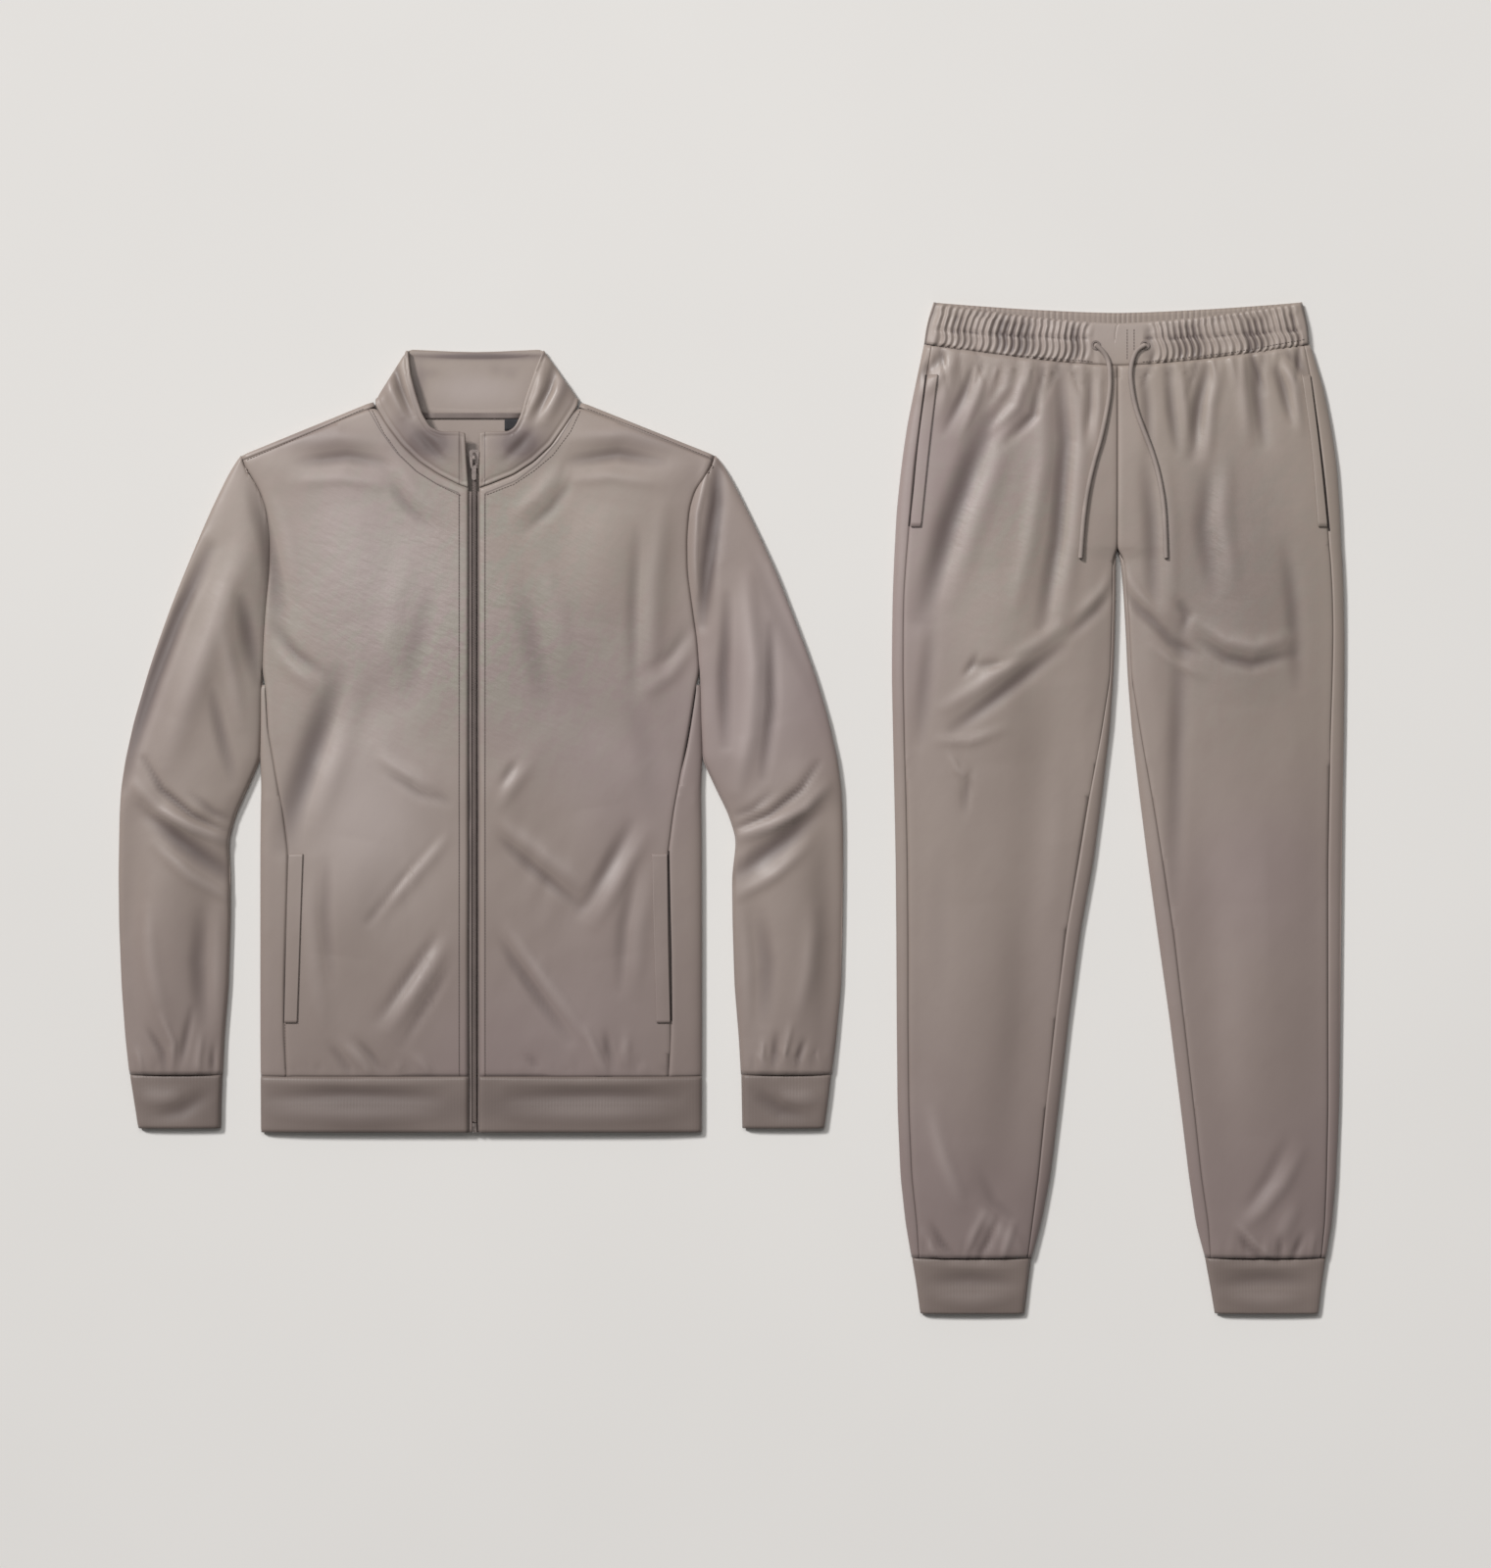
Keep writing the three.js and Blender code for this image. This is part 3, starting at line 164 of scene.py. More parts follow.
tricot = {
    "light": (0.345, 0.279, 0.253, 1),
    "shade": (0.288, 0.228, 0.206, 1),
    "warm": (0.325, 0.268, 0.224, 1),
    "mauve": (0.302, 0.235, 0.229, 1),
    # the painted shade and highlight colours: deep and trough for painted shade, crest for painted highlight;
    # trough also darkens the stitch lines
    "deep": (0.185, 0.142, 0.133, 1),
    "trough": (0.095, 0.070, 0.066, 1),
    "crest": (0.43, 0.365, 0.345, 1),
    "olive": (0.29, 0.262, 0.222, 1),
    "roughness": 0.45,
    # painted shade: the cloth is painted darker towards the bottom, most at the first height and not at all
    # above the second, in metres
    "lowShadeFrom": -0.42,  # metres, where the cloth is deepest in tone
    "lowShadeTo": 0.30,
    "wale": 1.1,  # mm from one knitted column to the next
    "crinkle": 0.9,  # mm, the depth of the fine creases
    "lineHalf": 1.1,  # mm, each side of a pressed stitch line
    "lineTone": 0.62,
}


def ownValue(tree, name):
    # a value that each panel carries on its points
    return addNode(tree, "ShaderNodeAttribute", attribute_name=name).outputs["Fac"]


def foldShadeAndHighlight(tree, base, look):
    # painted shade and highlight: troughs are painted deeper and crests paler than the cloth between them
    fold = ownValue(tree, "fold")
    low = blendColours(tree, spread(tree, fold, 0.8, 0, -3.4, -0.15), base, look["trough"])
    return blendColours(tree, spread(tree, fold, 0, 0.38, 0.5, 4.5), low, look["crest"])


def tricotCloth(name, look, toneTurn=0):
    material, tree, shader, place = newMaterial(
        name, look["roughness"], Sheen_Weight=0.12, Sheen_Roughness=0.4, Specular_IOR_Level=0.4,
    )
    broad = noiseField(tree, place, 4.2, 2, turn=toneTurn)
    drift = noiseField(tree, place, 2.3, 1, turn=toneTurn + 40)
    mottle = noiseField(tree, place, 62, 4, stretch=(1, 2.4, 1), turn=38)
    base = blendColours(tree, spread(tree, broad, 0, 1, 0.36, 0.64), look["shade"], look["light"])
    tinted = blendColours(tree, spread(tree, drift, 0, 0.75, 0.4, 0.62), base, look["warm"])
    cooled = blendColours(tree, spread(tree, drift, 0.7, 0, 0.36, 0.5), tinted, look["mauve"])
    speckled = blendColours(tree, spread(tree, mottle, 0, 0.16, 0.48, 0.7), cooled, look["shade"])
    # painted shade: darker towards the bottom of the garments
    parts = addNode(tree, "ShaderNodeSeparateXYZ", {"Vector": place})
    lowShade = spread(tree, parts.outputs["Y"], 0.82, 0, look["lowShadeFrom"], look["lowShadeTo"])
    shadedLow = blendColours(tree, lowShade, speckled, look["deep"])
    flecks = spread(tree, noiseField(tree, place, 40, 4, (1, 1.8, 1), 52, 0.62), 0, 1, 0.44, 0.58)
    worn = addNode(tree, "ShaderNodeMath", {0: flecks, 1: ownValue(tree, "worn")}, operation="MULTIPLY")
    mottled = blendColours(tree, worn.outputs[0], shadedLow, look["olive"])
    # the tone spots: painted shade above 0 and painted highlight below 0, mixed with the cloth's own uneven
    # tone
    tone = ownValue(tree, "tone")
    shaded = blendColours(tree, spread(tree, tone, 0, 1, 0, 1), mottled, look["deep"])
    shaded = blendColours(tree, spread(tree, tone, 0, 0.85, 0.8, 1.8), shaded, look["trough"])
    shaded = blendColours(tree, spread(tree, tone, 0.7, 0, -1, 0), shaded, look["crest"])
    toned = foldShadeAndHighlight(tree, shaded, look)
    away = addNode(tree, "ShaderNodeMath", {0: ownValue(tree, "seam")}, operation="ABSOLUTE")
    line = spread(tree, away.outputs[0], 1, 0, 0.1, look["lineHalf"])
    lined = addNode(tree, "ShaderNodeMath", {0: line, 1: look["lineTone"]}, operation="MULTIPLY")
    colour = blendColours(tree, lined.outputs[0], toned, look["trough"])
    soft = spread(tree, noiseField(tree, place, 26, 3), look["roughness"] - 0.05, look["roughness"] + 0.07)
    tree.links.new(soft, shader.inputs["Roughness"])
    creases = [
        (noiseField(tree, place, 13, 1, (1, 2.6, 1), 62, 0.4), 0.5),
        (noiseField(tree, place, 11, 1, (1, 2.8, 1), -58, 0.4), 0.45),
        (noiseField(tree, place, 44, 2, (1, 2.0, 1), 80, 0.5), 0.1),
    ]
    normal = None
    for field, strength in creases:
        normal = bump(tree, field, strength, look["crinkle"] * mm, normal)
    wrinkles = noiseField(tree, place, 64, 3, (1, 2.3, 1), -32, 0.55)
    crimped = addNode(tree, "ShaderNodeMath", {0: wrinkles, 1: ownValue(tree, "worn")}, operation="MULTIPLY")
    normal = bump(tree, crimped.outputs[0], 0.55, 1.3 * mm, normal)
    normal = bump(tree, line, -0.5, 0.5 * mm, normal)
    normal = bump(tree, waveField(tree, place, look["wale"]), 0.12, 0.05 * mm, normal)
    normal = bump(tree, noiseField(tree, place, 900, 2), 0.14, 0.06 * mm, normal)
    paint(tree, shader, colour, normal)
    return material


ribKnit = {
    "light": (0.198, 0.156, 0.138, 1),
    "shade": (0.164, 0.127, 0.112, 1),
    "roughness": 0.5,
    "rib": 1.6,  # mm
}


def ribCloth(name, look):
    material, tree, shader, place = newMaterial(
        name, look["roughness"], Sheen_Weight=0.1, Sheen_Roughness=0.5, Specular_IOR_Level=0.42,
    )
    broad = noiseField(tree, place, 9, 2)
    base = blendColours(tree, spread(tree, broad, 0, 1, 0.36, 0.64), look["shade"], look["light"])
    ribs = waveField(tree, place, look["rib"], distortion=0.3)
    # painted shade in the grooves between the ribs
    shaded = blendColours(tree, spread(tree, ribs, 0.12, 0, 0, 0.5), base, look["shade"])
    # painted shade from the tone spots
    shaded = blendColours(tree, spread(tree, ownValue(tree, "tone"), 0, 0.6, 0, 1), shaded, tricot["trough"])
    soft = noiseField(tree, place, 22, 3, (1, 2.2, 1), 12)
    normal = bump(tree, soft, 0.4, 0.6 * mm)
    normal = bump(tree, ribs, 0.3, 0.16 * mm, normal)
    normal = bump(tree, noiseField(tree, place, 900, 2), 0.15, 0.07 * mm, normal)
    paint(tree, shader, foldShadeAndHighlight(tree, shaded, tricot), normal)
    return material


def wovenTape(name, colour, roughness, pitch):
    material, tree, shader, place = newMaterial(name, roughness, Specular_IOR_Level=0.3, Sheen_Weight=0.1)
    tone = noiseField(tree, place, 40, 3)
    darker = tuple(c * 0.8 for c in colour[:3]) + (1,)
    weave = waveField(tree, place, pitch, "DIAGONAL")
    toned = blendColours(tree, spread(tree, tone, 0, 1), darker, colour)
    paint(tree, shader, toned, bump(tree, weave, 0.4, 0.12 * mm))
    return material


def toothMetal(name, colour, roughness):
    material, tree, shader, place = newMaterial(name, roughness, Metallic=0.75)
    wear = noiseField(tree, place, 260, 4)
    darker = tuple(c * 0.62 for c in colour[:3]) + (1,)
    tree.links.new(spread(tree, wear, roughness - 0.08, roughness + 0.14), shader.inputs["Roughness"])
    worn = blendColours(tree, spread(tree, wear, 0, 1, 0.4, 0.65), darker, colour)
    paint(tree, shader, worn, bump(tree, noiseField(tree, place, 700, 2), 0.15, 0.05 * mm))
    return material


finishes = {
    "cloth": tricotCloth("satin tricot", tricot),
    "rib": ribCloth("rib knit", ribKnit),
    "zip_cloth": wovenTape("zip tape weave", (0.215, 0.172, 0.158, 1), 0.65, 0.8),
    "zip_metal": toothMetal("dark zip metal", (0.25, 0.208, 0.192, 1), 0.42),
    "coil": wovenTape("nylon zip coil", (0.15, 0.117, 0.106, 1), 0.5, 0.9),
    "cord": wovenTape("braided cord", (0.33, 0.272, 0.244, 1), 0.7, 1.1),
    "label": wovenTape("woven label", (0.035, 0.033, 0.036, 1), 0.8, 0.7),
    # painted shadow for the pocket mouths
    "hollow": wovenTape("pocket shadow", (0.05, 0.038, 0.035, 1), 0.9, 0.8),
    "stitching": wovenTape("topstitch thread", (0.13, 0.1, 0.09, 1), 0.7, 0.5),
    "thread": wovenTape("sewing thread", (0.24, 0.195, 0.178, 1), 0.7, 0.5),
}

print("cloth")

# Soft ridges and troughs: half width and rise in mm, then x and y of each point that the fold's line meets.
jacketFolds = [
    (7, 1.4, -94, 380, -60, 359, -38, 340), (6, -1.3, -88, 367, -54, 347, -16, 335),
    (8, 1.7, -24, 306, -56, 271, -94, 228), (5, -1.5, -32, 304, -70, 261, -108, 215),
    (7, 1.9, -26, 195, -60, 145, -86, 105), (6, -1.2, -40, 199, -72, 151, -98, 115),
    (5, -1.0, -16, 183, -46, 135, -74, 89), (6, 1.3, -132, 91, -116, 75, -106, 61),
    (4, -1.2, -118, 93, -104, 77, -94, 63), (5, -0.9, -146, 89, -134, 71, -128, 59),
    (13, -2.3, -140, 465, -162, 399, -184, 333, -194, 293), (12, 1.6, -118, 449, -140, 379, -162, 315),
    (10, 1.0, -166, 275, -168, 223, -162, 165, -154, 99), (7, -0.9, -150, 275, -152, 215, -146, 155),
    (7, 1.2, 56, 373, 36, 349, 18, 325), (5, -1.1, 42, 377, 24, 351), (8, 1.7, 20, 319, 64, 289, 114, 249),
    (6, -1.5, 20, 305, 58, 271, 106, 231), (7, -1.4, 108, 225, 134, 269, 158, 313),
    (8, 1.4, 122, 213, 150, 259, 174, 305), (6, -1.4, 22, 201, 56, 151, 96, 95),
    (7, 1.8, 34, 207, 72, 155, 110, 103), (5, 1.2, 114, 105, 124, 81, 132, 61),
    (4, -1.1, 134, 101, 140, 65), (5, 0.9, 156, 99, 152, 63),
    (9, -1.5, -226, 655, -214, 615, -204, 565, -198, 515), (9, 1.3, -208, 655, -192, 607, -182, 555),
    (10, 1.5, 192, 635, 182, 555, 180, 455), (7, -0.9, 166, 615, 162, 535, 162, 455),
    (9, 1.5, -184, 703, -138, 709, -96, 703), (7, -1.5, -178, 683, -128, 689, -88, 681),
    (7, 1.0, -184, 663, -134, 667, -84, 659), (9, 1.5, 100, 707, 156, 713, 206, 699),
    (7, -1.5, 94, 683, 146, 691, 192, 683), (7, 1.0, 86, 663, 138, 669, 188, 661),
    (8, 1.1, -80, 681, -60, 651, -34, 627), (6, -1.0, -90, 669, -70, 639, -44, 615),
    (8, 1.1, 88, 681, 68, 651, 40, 627), (6, -1.0, 100, 667, 80, 637, 52, 613),
    (14, -0.5, 156, 455, 176, 385, 184, 315), (9, 1.0, 180, 265, 168, 205, 164, 145),
    (7, -0.9, 164, 271, 152, 209, 148, 147), (6, -1.3, -204, 515, -182, 487, -152, 467),
    (7, 1.1, -204, 493, -180, 467, -158, 451), (6, -0.7, 220, 515, 200, 487, 172, 467),
    (7, 1.1, 220, 493, 200, 467, 178, 451), (12, 0.9, -64, 595, -82, 535, -90, 465),
    (12, -0.8, -44, 555, -60, 495, -70, 435), (12, 0.9, 64, 595, 82, 535, 92, 465),
    (12, -0.8, 46, 555, 60, 495, 72, 435), (5, 0.8, -64, 79, -44, 63), (5, -0.8, 52, 79, 68, 63),
    (6, 1.9, -96, 789, -88, 763, -74, 731), (5, -1.9, -84, 789, -76, 759, -64, 731),
    (5, 1.2, -70, 783, -64, 751, -54, 725), (6, 1.9, 96, 781, 86, 755, 72, 725),
    (5, -1.9, 82, 787, 76, 757, 60, 727), (5, 1.2, 70, 783, 64, 751, 52, 725),
    (5, -1.0, -60, 717, -44, 699, -26, 681), (5, -1.0, 60, 715, 46, 699, 28, 683),
    (3.5, -2.2, -336, 381, -318, 349, -288, 324, -252, 305),
    (6, 2.8, -344, 353, -322, 329, -286, 310, -248, 297),
    (9, -2.5, -336, 333, -296, 295, -262, 271, -246, 257), (6, 1.6, -324, 293, -288, 261, -248, 237),
    (4, -1.0, -288, 345, -264, 325, -244, 317), (3.5, -2.2, 350, 377, 332, 350, 302, 325, 266, 309),
    (6, 2.8, 358, 353, 338, 331, 302, 312, 264, 300), (9, -2.5, 350, 329, 312, 295, 278, 271, 264, 261),
    (6, 1.6, 340, 293, 306, 263, 270, 241), (4, -1.0, 304, 347, 282, 329, 264, 323),
    (8, -3.0, -270, 595, -302, 527, -328, 459, -350, 391, -358, 355),
    (8, 1.8, -282, 609, -318, 539, -344, 471, -364, 403),
    (12, 2.0, -234, 595, -264, 515, -294, 435, -312, 375), (8, -1.8, -240, 555, -230, 505, -222, 461),
    (7, 1.5, -256, 515, -246, 465, -240, 415), (6, -1.4, -268, 455, -258, 407, -246, 359),
    (4, 1.8, 238, 683, 226, 629, 224, 585, 226, 551), (7, -3.6, 248, 685, 246, 639, 238, 578, 232, 519),
    (8, 2.4, 278, 565, 284, 475, 280, 405, 268, 349), (6, -2.0, 302, 515, 302, 435, 294, 363),
    (6, -1.9, 258, 545, 254, 465, 256, 395), (9, -0.5, 280, 595, 316, 515, 344, 455, 362, 395),
    (9, 0.6, 294, 607, 328, 531, 356, 465, 374, 403), (3, 1.4, -318, 119, -306, 91, -308, 63),
    (3.5, -1.4, -332, 105, -318, 81, -314, 61), (3.5, -1.3, -288, 125, -294, 95, -300, 61),
    (3, 1.0, -278, 99, -282, 63), (3, 1.0, -344, 85, -338, 59), (3, -0.9, -266, 89, -268, 61),
    (3, 1.4, 322, 109, 316, 81, 314, 61), (3.5, -1.4, 336, 95, 326, 62), (3.5, -1.3, 308, 101, 304, 61),
    (3, 1.1, 294, 93, 292, 62), (3, -0.9, 348, 85, 344, 61), (8, 1.2, -334, 225, -328, 165, -316, 115),
    (8, -1.2, -278, 221, -282, 171, -278, 115), (7, 1.0, -262, 225, -262, 165, -262, 105),
    (8, 1.2, 346, 225, 340, 165, 328, 115), (8, -1.2, 292, 221, 298, 171, 296, 115),
    (7, 1.0, 274, 225, 278, 165, 278, 105),
]
joggersFolds = [
    (12, -2.4, -122, 926, -148, 870, -174, 800, -200, 708),
    (11, 1.9, -100, 936, -126, 864, -148, 800, -172, 730), (8, -1.0, -190, 700, -196, 650, -202, 584),
    (8, -2.2, -60, 964, -54, 890, -62, 790, -78, 700), (9, 1.8, -42, 966, -37, 890, -46, 790, -60, 700),
    (9, 1.6, -76, 960, -76, 870, -92, 780, -106, 720), (7, -2.0, -58, 680, -94, 652, -130, 624, -168, 596),
    (7, 1.8, -60, 700, -98, 672, -138, 642, -176, 618), (5, -1.1, -88, 676, -118, 662, -150, 660),
    (5, 1.0, -116, 596, -150, 584, -184, 584), (5, -1.6, -142, 972, -156, 940, -176, 900),
    (5, 1.4, -130, 972, -144, 934, -160, 894), (5, -1.9, -78, 960, -86, 916, -118, 884),
    (5, 1.6, -92, 964, -104, 924, -128, 900), (5, 1.4, -110, 974, -114, 944, -130, 920),
    (4, -1.4, -28, 962, -29, 924, -34, 884), (4, 1.2, -19, 960, -20, 920, -23, 884),
    (3, -1.0, -144, 672, -150, 660, -158, 650), (4, -1.0, -150, 554, -156, 528, -157, 510),
    (4, 0.9, -172, 570, -164, 554, -150, 544), (6, -1.9, 91, 970, 82, 928, 75, 874),
    (6, 1.7, 104, 968, 94, 926, 90, 870), (6, -1.7, 136, 974, 142, 936, 148, 888),
    (6, 1.5, 122, 972, 128, 932, 132, 890), (5, -1.5, 50, 966, 54, 920, 60, 880),
    (5, 1.3, 64, 966, 68, 924, 72, 884), (5, -1.2, 26, 962, 30, 920, 32, 880),
    (8, -1.3, 28, 870, 34, 800, 36, 710), (8, 1.2, 46, 870, 52, 800, 54, 720),
    (5, -1.7, 158, 978, 166, 950, 176, 910), (5, 1.4, 172, 974, 180, 938, 186, 900),
    (9, -1.2, 64, 720, 62, 640, 58, 540, 56, 420), (5, -1.1, 60, 728, 70, 712, 67, 698),
    (6, -1.8, 84, 686, 110, 668, 136, 662, 178, 672), (7, 1.6, 82, 704, 110, 686, 140, 680, 176, 690),
    (5, -1.2, 40, 700, 54, 684, 80, 672), (5, 1.1, 36, 680, 56, 664, 86, 650),
    (9, 1.4, 110, 870, 106, 810, 116, 740), (9, -1.3, 92, 860, 86, 800, 96, 736),
    (8, -1.2, 170, 780, 178, 720, 182, 640), (3.5, -1.4, -189, 90, -180, 72, -167, 58),
    (3.5, 1.3, -198, 84, -190, 66, -180, 56), (3.5, -1.4, -122, 98, -132, 76, -142, 56),
    (7, 1.2, -191, 204, -178, 156, -160, 114), (9, 1.3, -144, 110, -124, 88, -102, 64),
    (6, -0.7, -140, 144, -126, 112, -100, 90), (3.5, 1.2, -136, 104, -148, 80, -156, 58),
    (3.5, 1.1, -106, 94, -114, 70, -120, 56), (7, 1.4, 186, 168, 166, 132, 146, 106, 128, 90),
    (6, -0.8, 172, 180, 152, 140, 130, 108), (8, 1.1, 182, 114, 170, 90, 158, 64),
    (3.5, -1.4, 123, 80, 134, 66, 146, 56), (3.5, 1.2, 122, 90, 140, 72, 158, 58),
    (3.5, -1.2, 166, 80, 164, 56), (3.5, -1.2, 188, 82, 182, 66, 176, 56), (3.5, 1.1, 200, 84, 196, 60),
    (6, -1.5, -204, 952, -190, 966, -177, 979), (6, 1.2, -202, 936, -184, 952, -168, 972),
    (6, -1.5, 169, 982, 182, 970, 194, 954), (5, 1.1, 160, 970, 176, 954, 188, 938),
    (6, 1.2, -168, 974, -174, 948, -182, 916), (6, 1.2, -2, 760, -16, 736, -42, 710),
    (6, -1.3, -4, 742, -22, 718, -52, 690), (6, 1.2, 4, 760, 20, 734, 48, 708),
    (6, -1.3, 6, 742, 24, 716, 54, 688), (12, 0.5, -60, 580, -64, 480, -76, 380),
    (14, 0.4, -188, 240, -180, 160, -164, 100), (12, -0.3, -178, 490, -184, 400, -182, 310),
    (14, 0.4, 146, 520, 146, 420, 152, 320),
]


def shortPleats(seed, seam, count, reach, depth):
    # uneven little pleats that run out from a seam
    chance = random.Random(seed)
    pleats = []
    for i in range(count):
        t = (i + chance.uniform(0.15, 0.85)) / count
        spot = t * (len(seam) - 1)
        k = min(int(spot), len(seam) - 2)
        (x1, y1), (x2, y2) = seam[k], seam[k + 1]
        x, y = x1 + (spot - k) * (x2 - x1), y1 + (spot - k) * (y2 - y1)
        length = reach * chance.uniform(0.45, 1.2)
        lean = chance.uniform(-0.35, 0.35) * length
        way = chance.choice((-1, 1))
        pleats.append((
            chance.uniform(2.2, 3.6), way * depth * chance.uniform(0.5, 1.1),
            [(x - lean * 0.2, y - 0.15 * length), (x + lean, y + length)],
        ))
    return pleats


# The broad swell and hollow of the worn-in cloth, as wide soft bands.
broadBands = {
    "jacket": [
        (26, 3.2, [(-296, 330), (-318, 200), (-318, 90)]),
        (24, 3.4, [(-232, 600), (-262, 500), (-300, 420)]),
        (16, -2.4, [(-345, 330), (-352, 200), (-345, 90)]), (14, -2.0, [(-268, 250), (-268, 90)]),
        (26, 3.2, [(306, 330), (330, 200), (330, 90)]), (24, 3.4, [(240, 600), (276, 500), (312, 420)]),
        (16, -2.4, [(358, 330), (364, 200), (358, 90)]), (14, -2.0, [(282, 250), (282, 90)]),
        (30, 2.6, [(-130, 640), (-110, 520)]), (30, 2.4, [(140, 640), (120, 520)]),
        (22, -2.0, [(-196, 640), (-200, 500), (-196, 400)]),
        (22, -2.0, [(206, 640), (206, 500), (200, 400)]),
        (26, -1.8, [(-60, 480), (-120, 420), (-170, 380)]), (26, -1.8, [(60, 480), (120, 420), (180, 380)]),
        (30, 2.2, [(-120, 300), (-140, 180)]), (30, 2.2, [(120, 330), (150, 180)]),
    ],
    "joggers": [
        (34, 3.2, [(-120, 760), (-120, 560)]), (30, -2.4, [(-70, 640), (-60, 480)]),
        (34, 2.8, [(-140, 420), (-140, 180)]), (26, -2.2, [(-206, 700), (-210, 420), (-206, 160)]),
        (34, 3.0, [(130, 800), (130, 620)]), (34, 2.8, [(140, 420), (145, 180)]),
        (26, -2.2, [(208, 700), (212, 420), (208, 160)]), (24, -2.0, [(84, 560), (96, 300), (118, 120)]),
        (24, -2.0, [(-82, 560), (-92, 300), (-116, 120)]),
    ],
}
# The knitted bands roll a little along their length.
jacketBands = [
    (5, 0.8, [(-216, 51), (-120, 49), (-30, 50)]), (7, -1.3, [(-206, 37), (-130, 40), (-36, 37)]),
    (9, 1.2, [(-210, 20), (-120, 17), (-32, 19)]), (5, 0.8, [(30, 50), (120, 50), (216, 51)]),
    (7, -1.3, [(36, 37), (130, 39), (206, 37)]), (9, 1.2, [(32, 19), (120, 18), (210, 20)]),
    (9, 1.2, [(-340, 36), (-316, 34), (-296, 38)]), (8, -1.3, [(-326, 18), (-300, 22), (-272, 40)]),
    (9, 1.2, [(352, 36), (330, 34), (308, 38)]), (8, -1.3, [(338, 18), (312, 22), (286, 40)]),
]
joggerBands = [
    (6, 0.8, [(-198, 50), (-150, 48), (-96, 48)]), (8, -1.2, [(-190, 34), (-150, 36), (-104, 32)]),
    (9, 1.1, [(-188, 16), (-146, 14), (-106, 17)]), (6, 0.8, [(98, 48), (150, 48), (204, 50)]),
    (8, -1.2, [(106, 32), (150, 36), (196, 34)]), (9, 1.1, [(110, 17), (150, 14), (192, 16)]),
]
# Pleats along each gathered seam: seed, seam, how many, reach and rise in mm.
pleatedSeams = {
    "jacket": [
        (7, [(-190, 60), (-20, 60)], 13, 16, 0.4), (8, [(20, 60), (196, 60)], 13, 16, 0.4),
        (9, [(-350, 62), (-262, 62)], 6, 18, 0.5), (10, [(275, 62), (362, 62)], 6, 18, 0.5),
    ],
    "joggers": [
        (3, [(-196, 988), (-110, 978), (-12, 973)], 13, -44, 1.15),
        (4, [(12, 973), (110, 982), (194, 994)], 13, -44, 1.15),
        (5, [(-206, 60), (-92, 58)], 9, 22, 0.5), (6, [(94, 56), (210, 60)], 9, 22, 0.5),
    ],
}
foldLines = {"jacket": jacketFolds + jacketBands, "joggers": joggersFolds + joggerBands}
for garment, seams in pleatedSeams.items():
    for seam in seams:
        foldLines[garment] += shortPleats(*seam)


def eased(low, high, value):
    t = np.clip((value - low) / (high - low), 0, 1)
    return t * t * (3 - 2 * t)


def bell(value, middle, width):
    return np.exp(-(((value - middle) / width) ** 2))


def readPoints(mesh, field="co"):
    values = np.zeros(len(mesh.vertices) * 3)
    mesh.vertices.foreach_get(field, values)
    return values.reshape(-1, 3)


def writePoints(mesh, points):
    mesh.vertices.foreach_set("co", points.reshape(-1))
    mesh.update()


def carry(mesh, name, values):
    mesh.attributes.new(name, "FLOAT", "POINT").data.foreach_set("value", values.astype(np.float32))


def alongLine(line, points):
    # each point's distance from a line in mm, its share of the way along, and its side, 1 on the right
    line = np.array(line, float)
    steps = np.diff(line, axis=0)
    lengths = np.hypot(*steps.T)
    total = lengths.sum()
    nearest = np.full(len(points), 1e9)
    along = np.zeros(len(points))
    side = np.zeros(len(points))
    gone = 0.0
    for start, step, length in zip(line, steps, lengths):
        way = step / length
        offset = points - start
        t = np.clip(offset @ way, 0, length)
        distance = np.hypot(*(offset - t[:, None] * way).T)
        closer = distance < nearest
        nearest = np.where(closer, distance, nearest)
        along = np.where(closer, (gone + t) / total, along)
        side = np.where(closer, np.sign(way[1] * offset[:, 0] - way[0] * offset[:, 1]), side)
        gone += length
    return nearest, along, side


# The depth of all folds, its limit in mm, and the share of its depth that a fold keeps at its ends.
foldLook = {"depth": 1.7, "limit": 6.0, "ends": 0.25}
# The folds die out towards the zip and the centre seam.
quietBand = {"jacket": (14, 40), "joggers": (1, 14)}


def foldRise(garment, points, folds, look=foldLook):
    rise = np.zeros(len(points))
    for width, height, *line in folds:
        nearest, along, _ = alongLine(np.reshape(line, (-1, 2)), points)
        fade = look["ends"] + (1 - look["ends"]) * np.sin(math.pi * np.clip(along, 0, 1))
        rise += height * fade * bell(nearest, 0, width)
    rise *= look["depth"] * eased(*quietBand[garment], np.abs(points[:, 0]))
    return look["limit"] * np.tanh(rise / look["limit"])


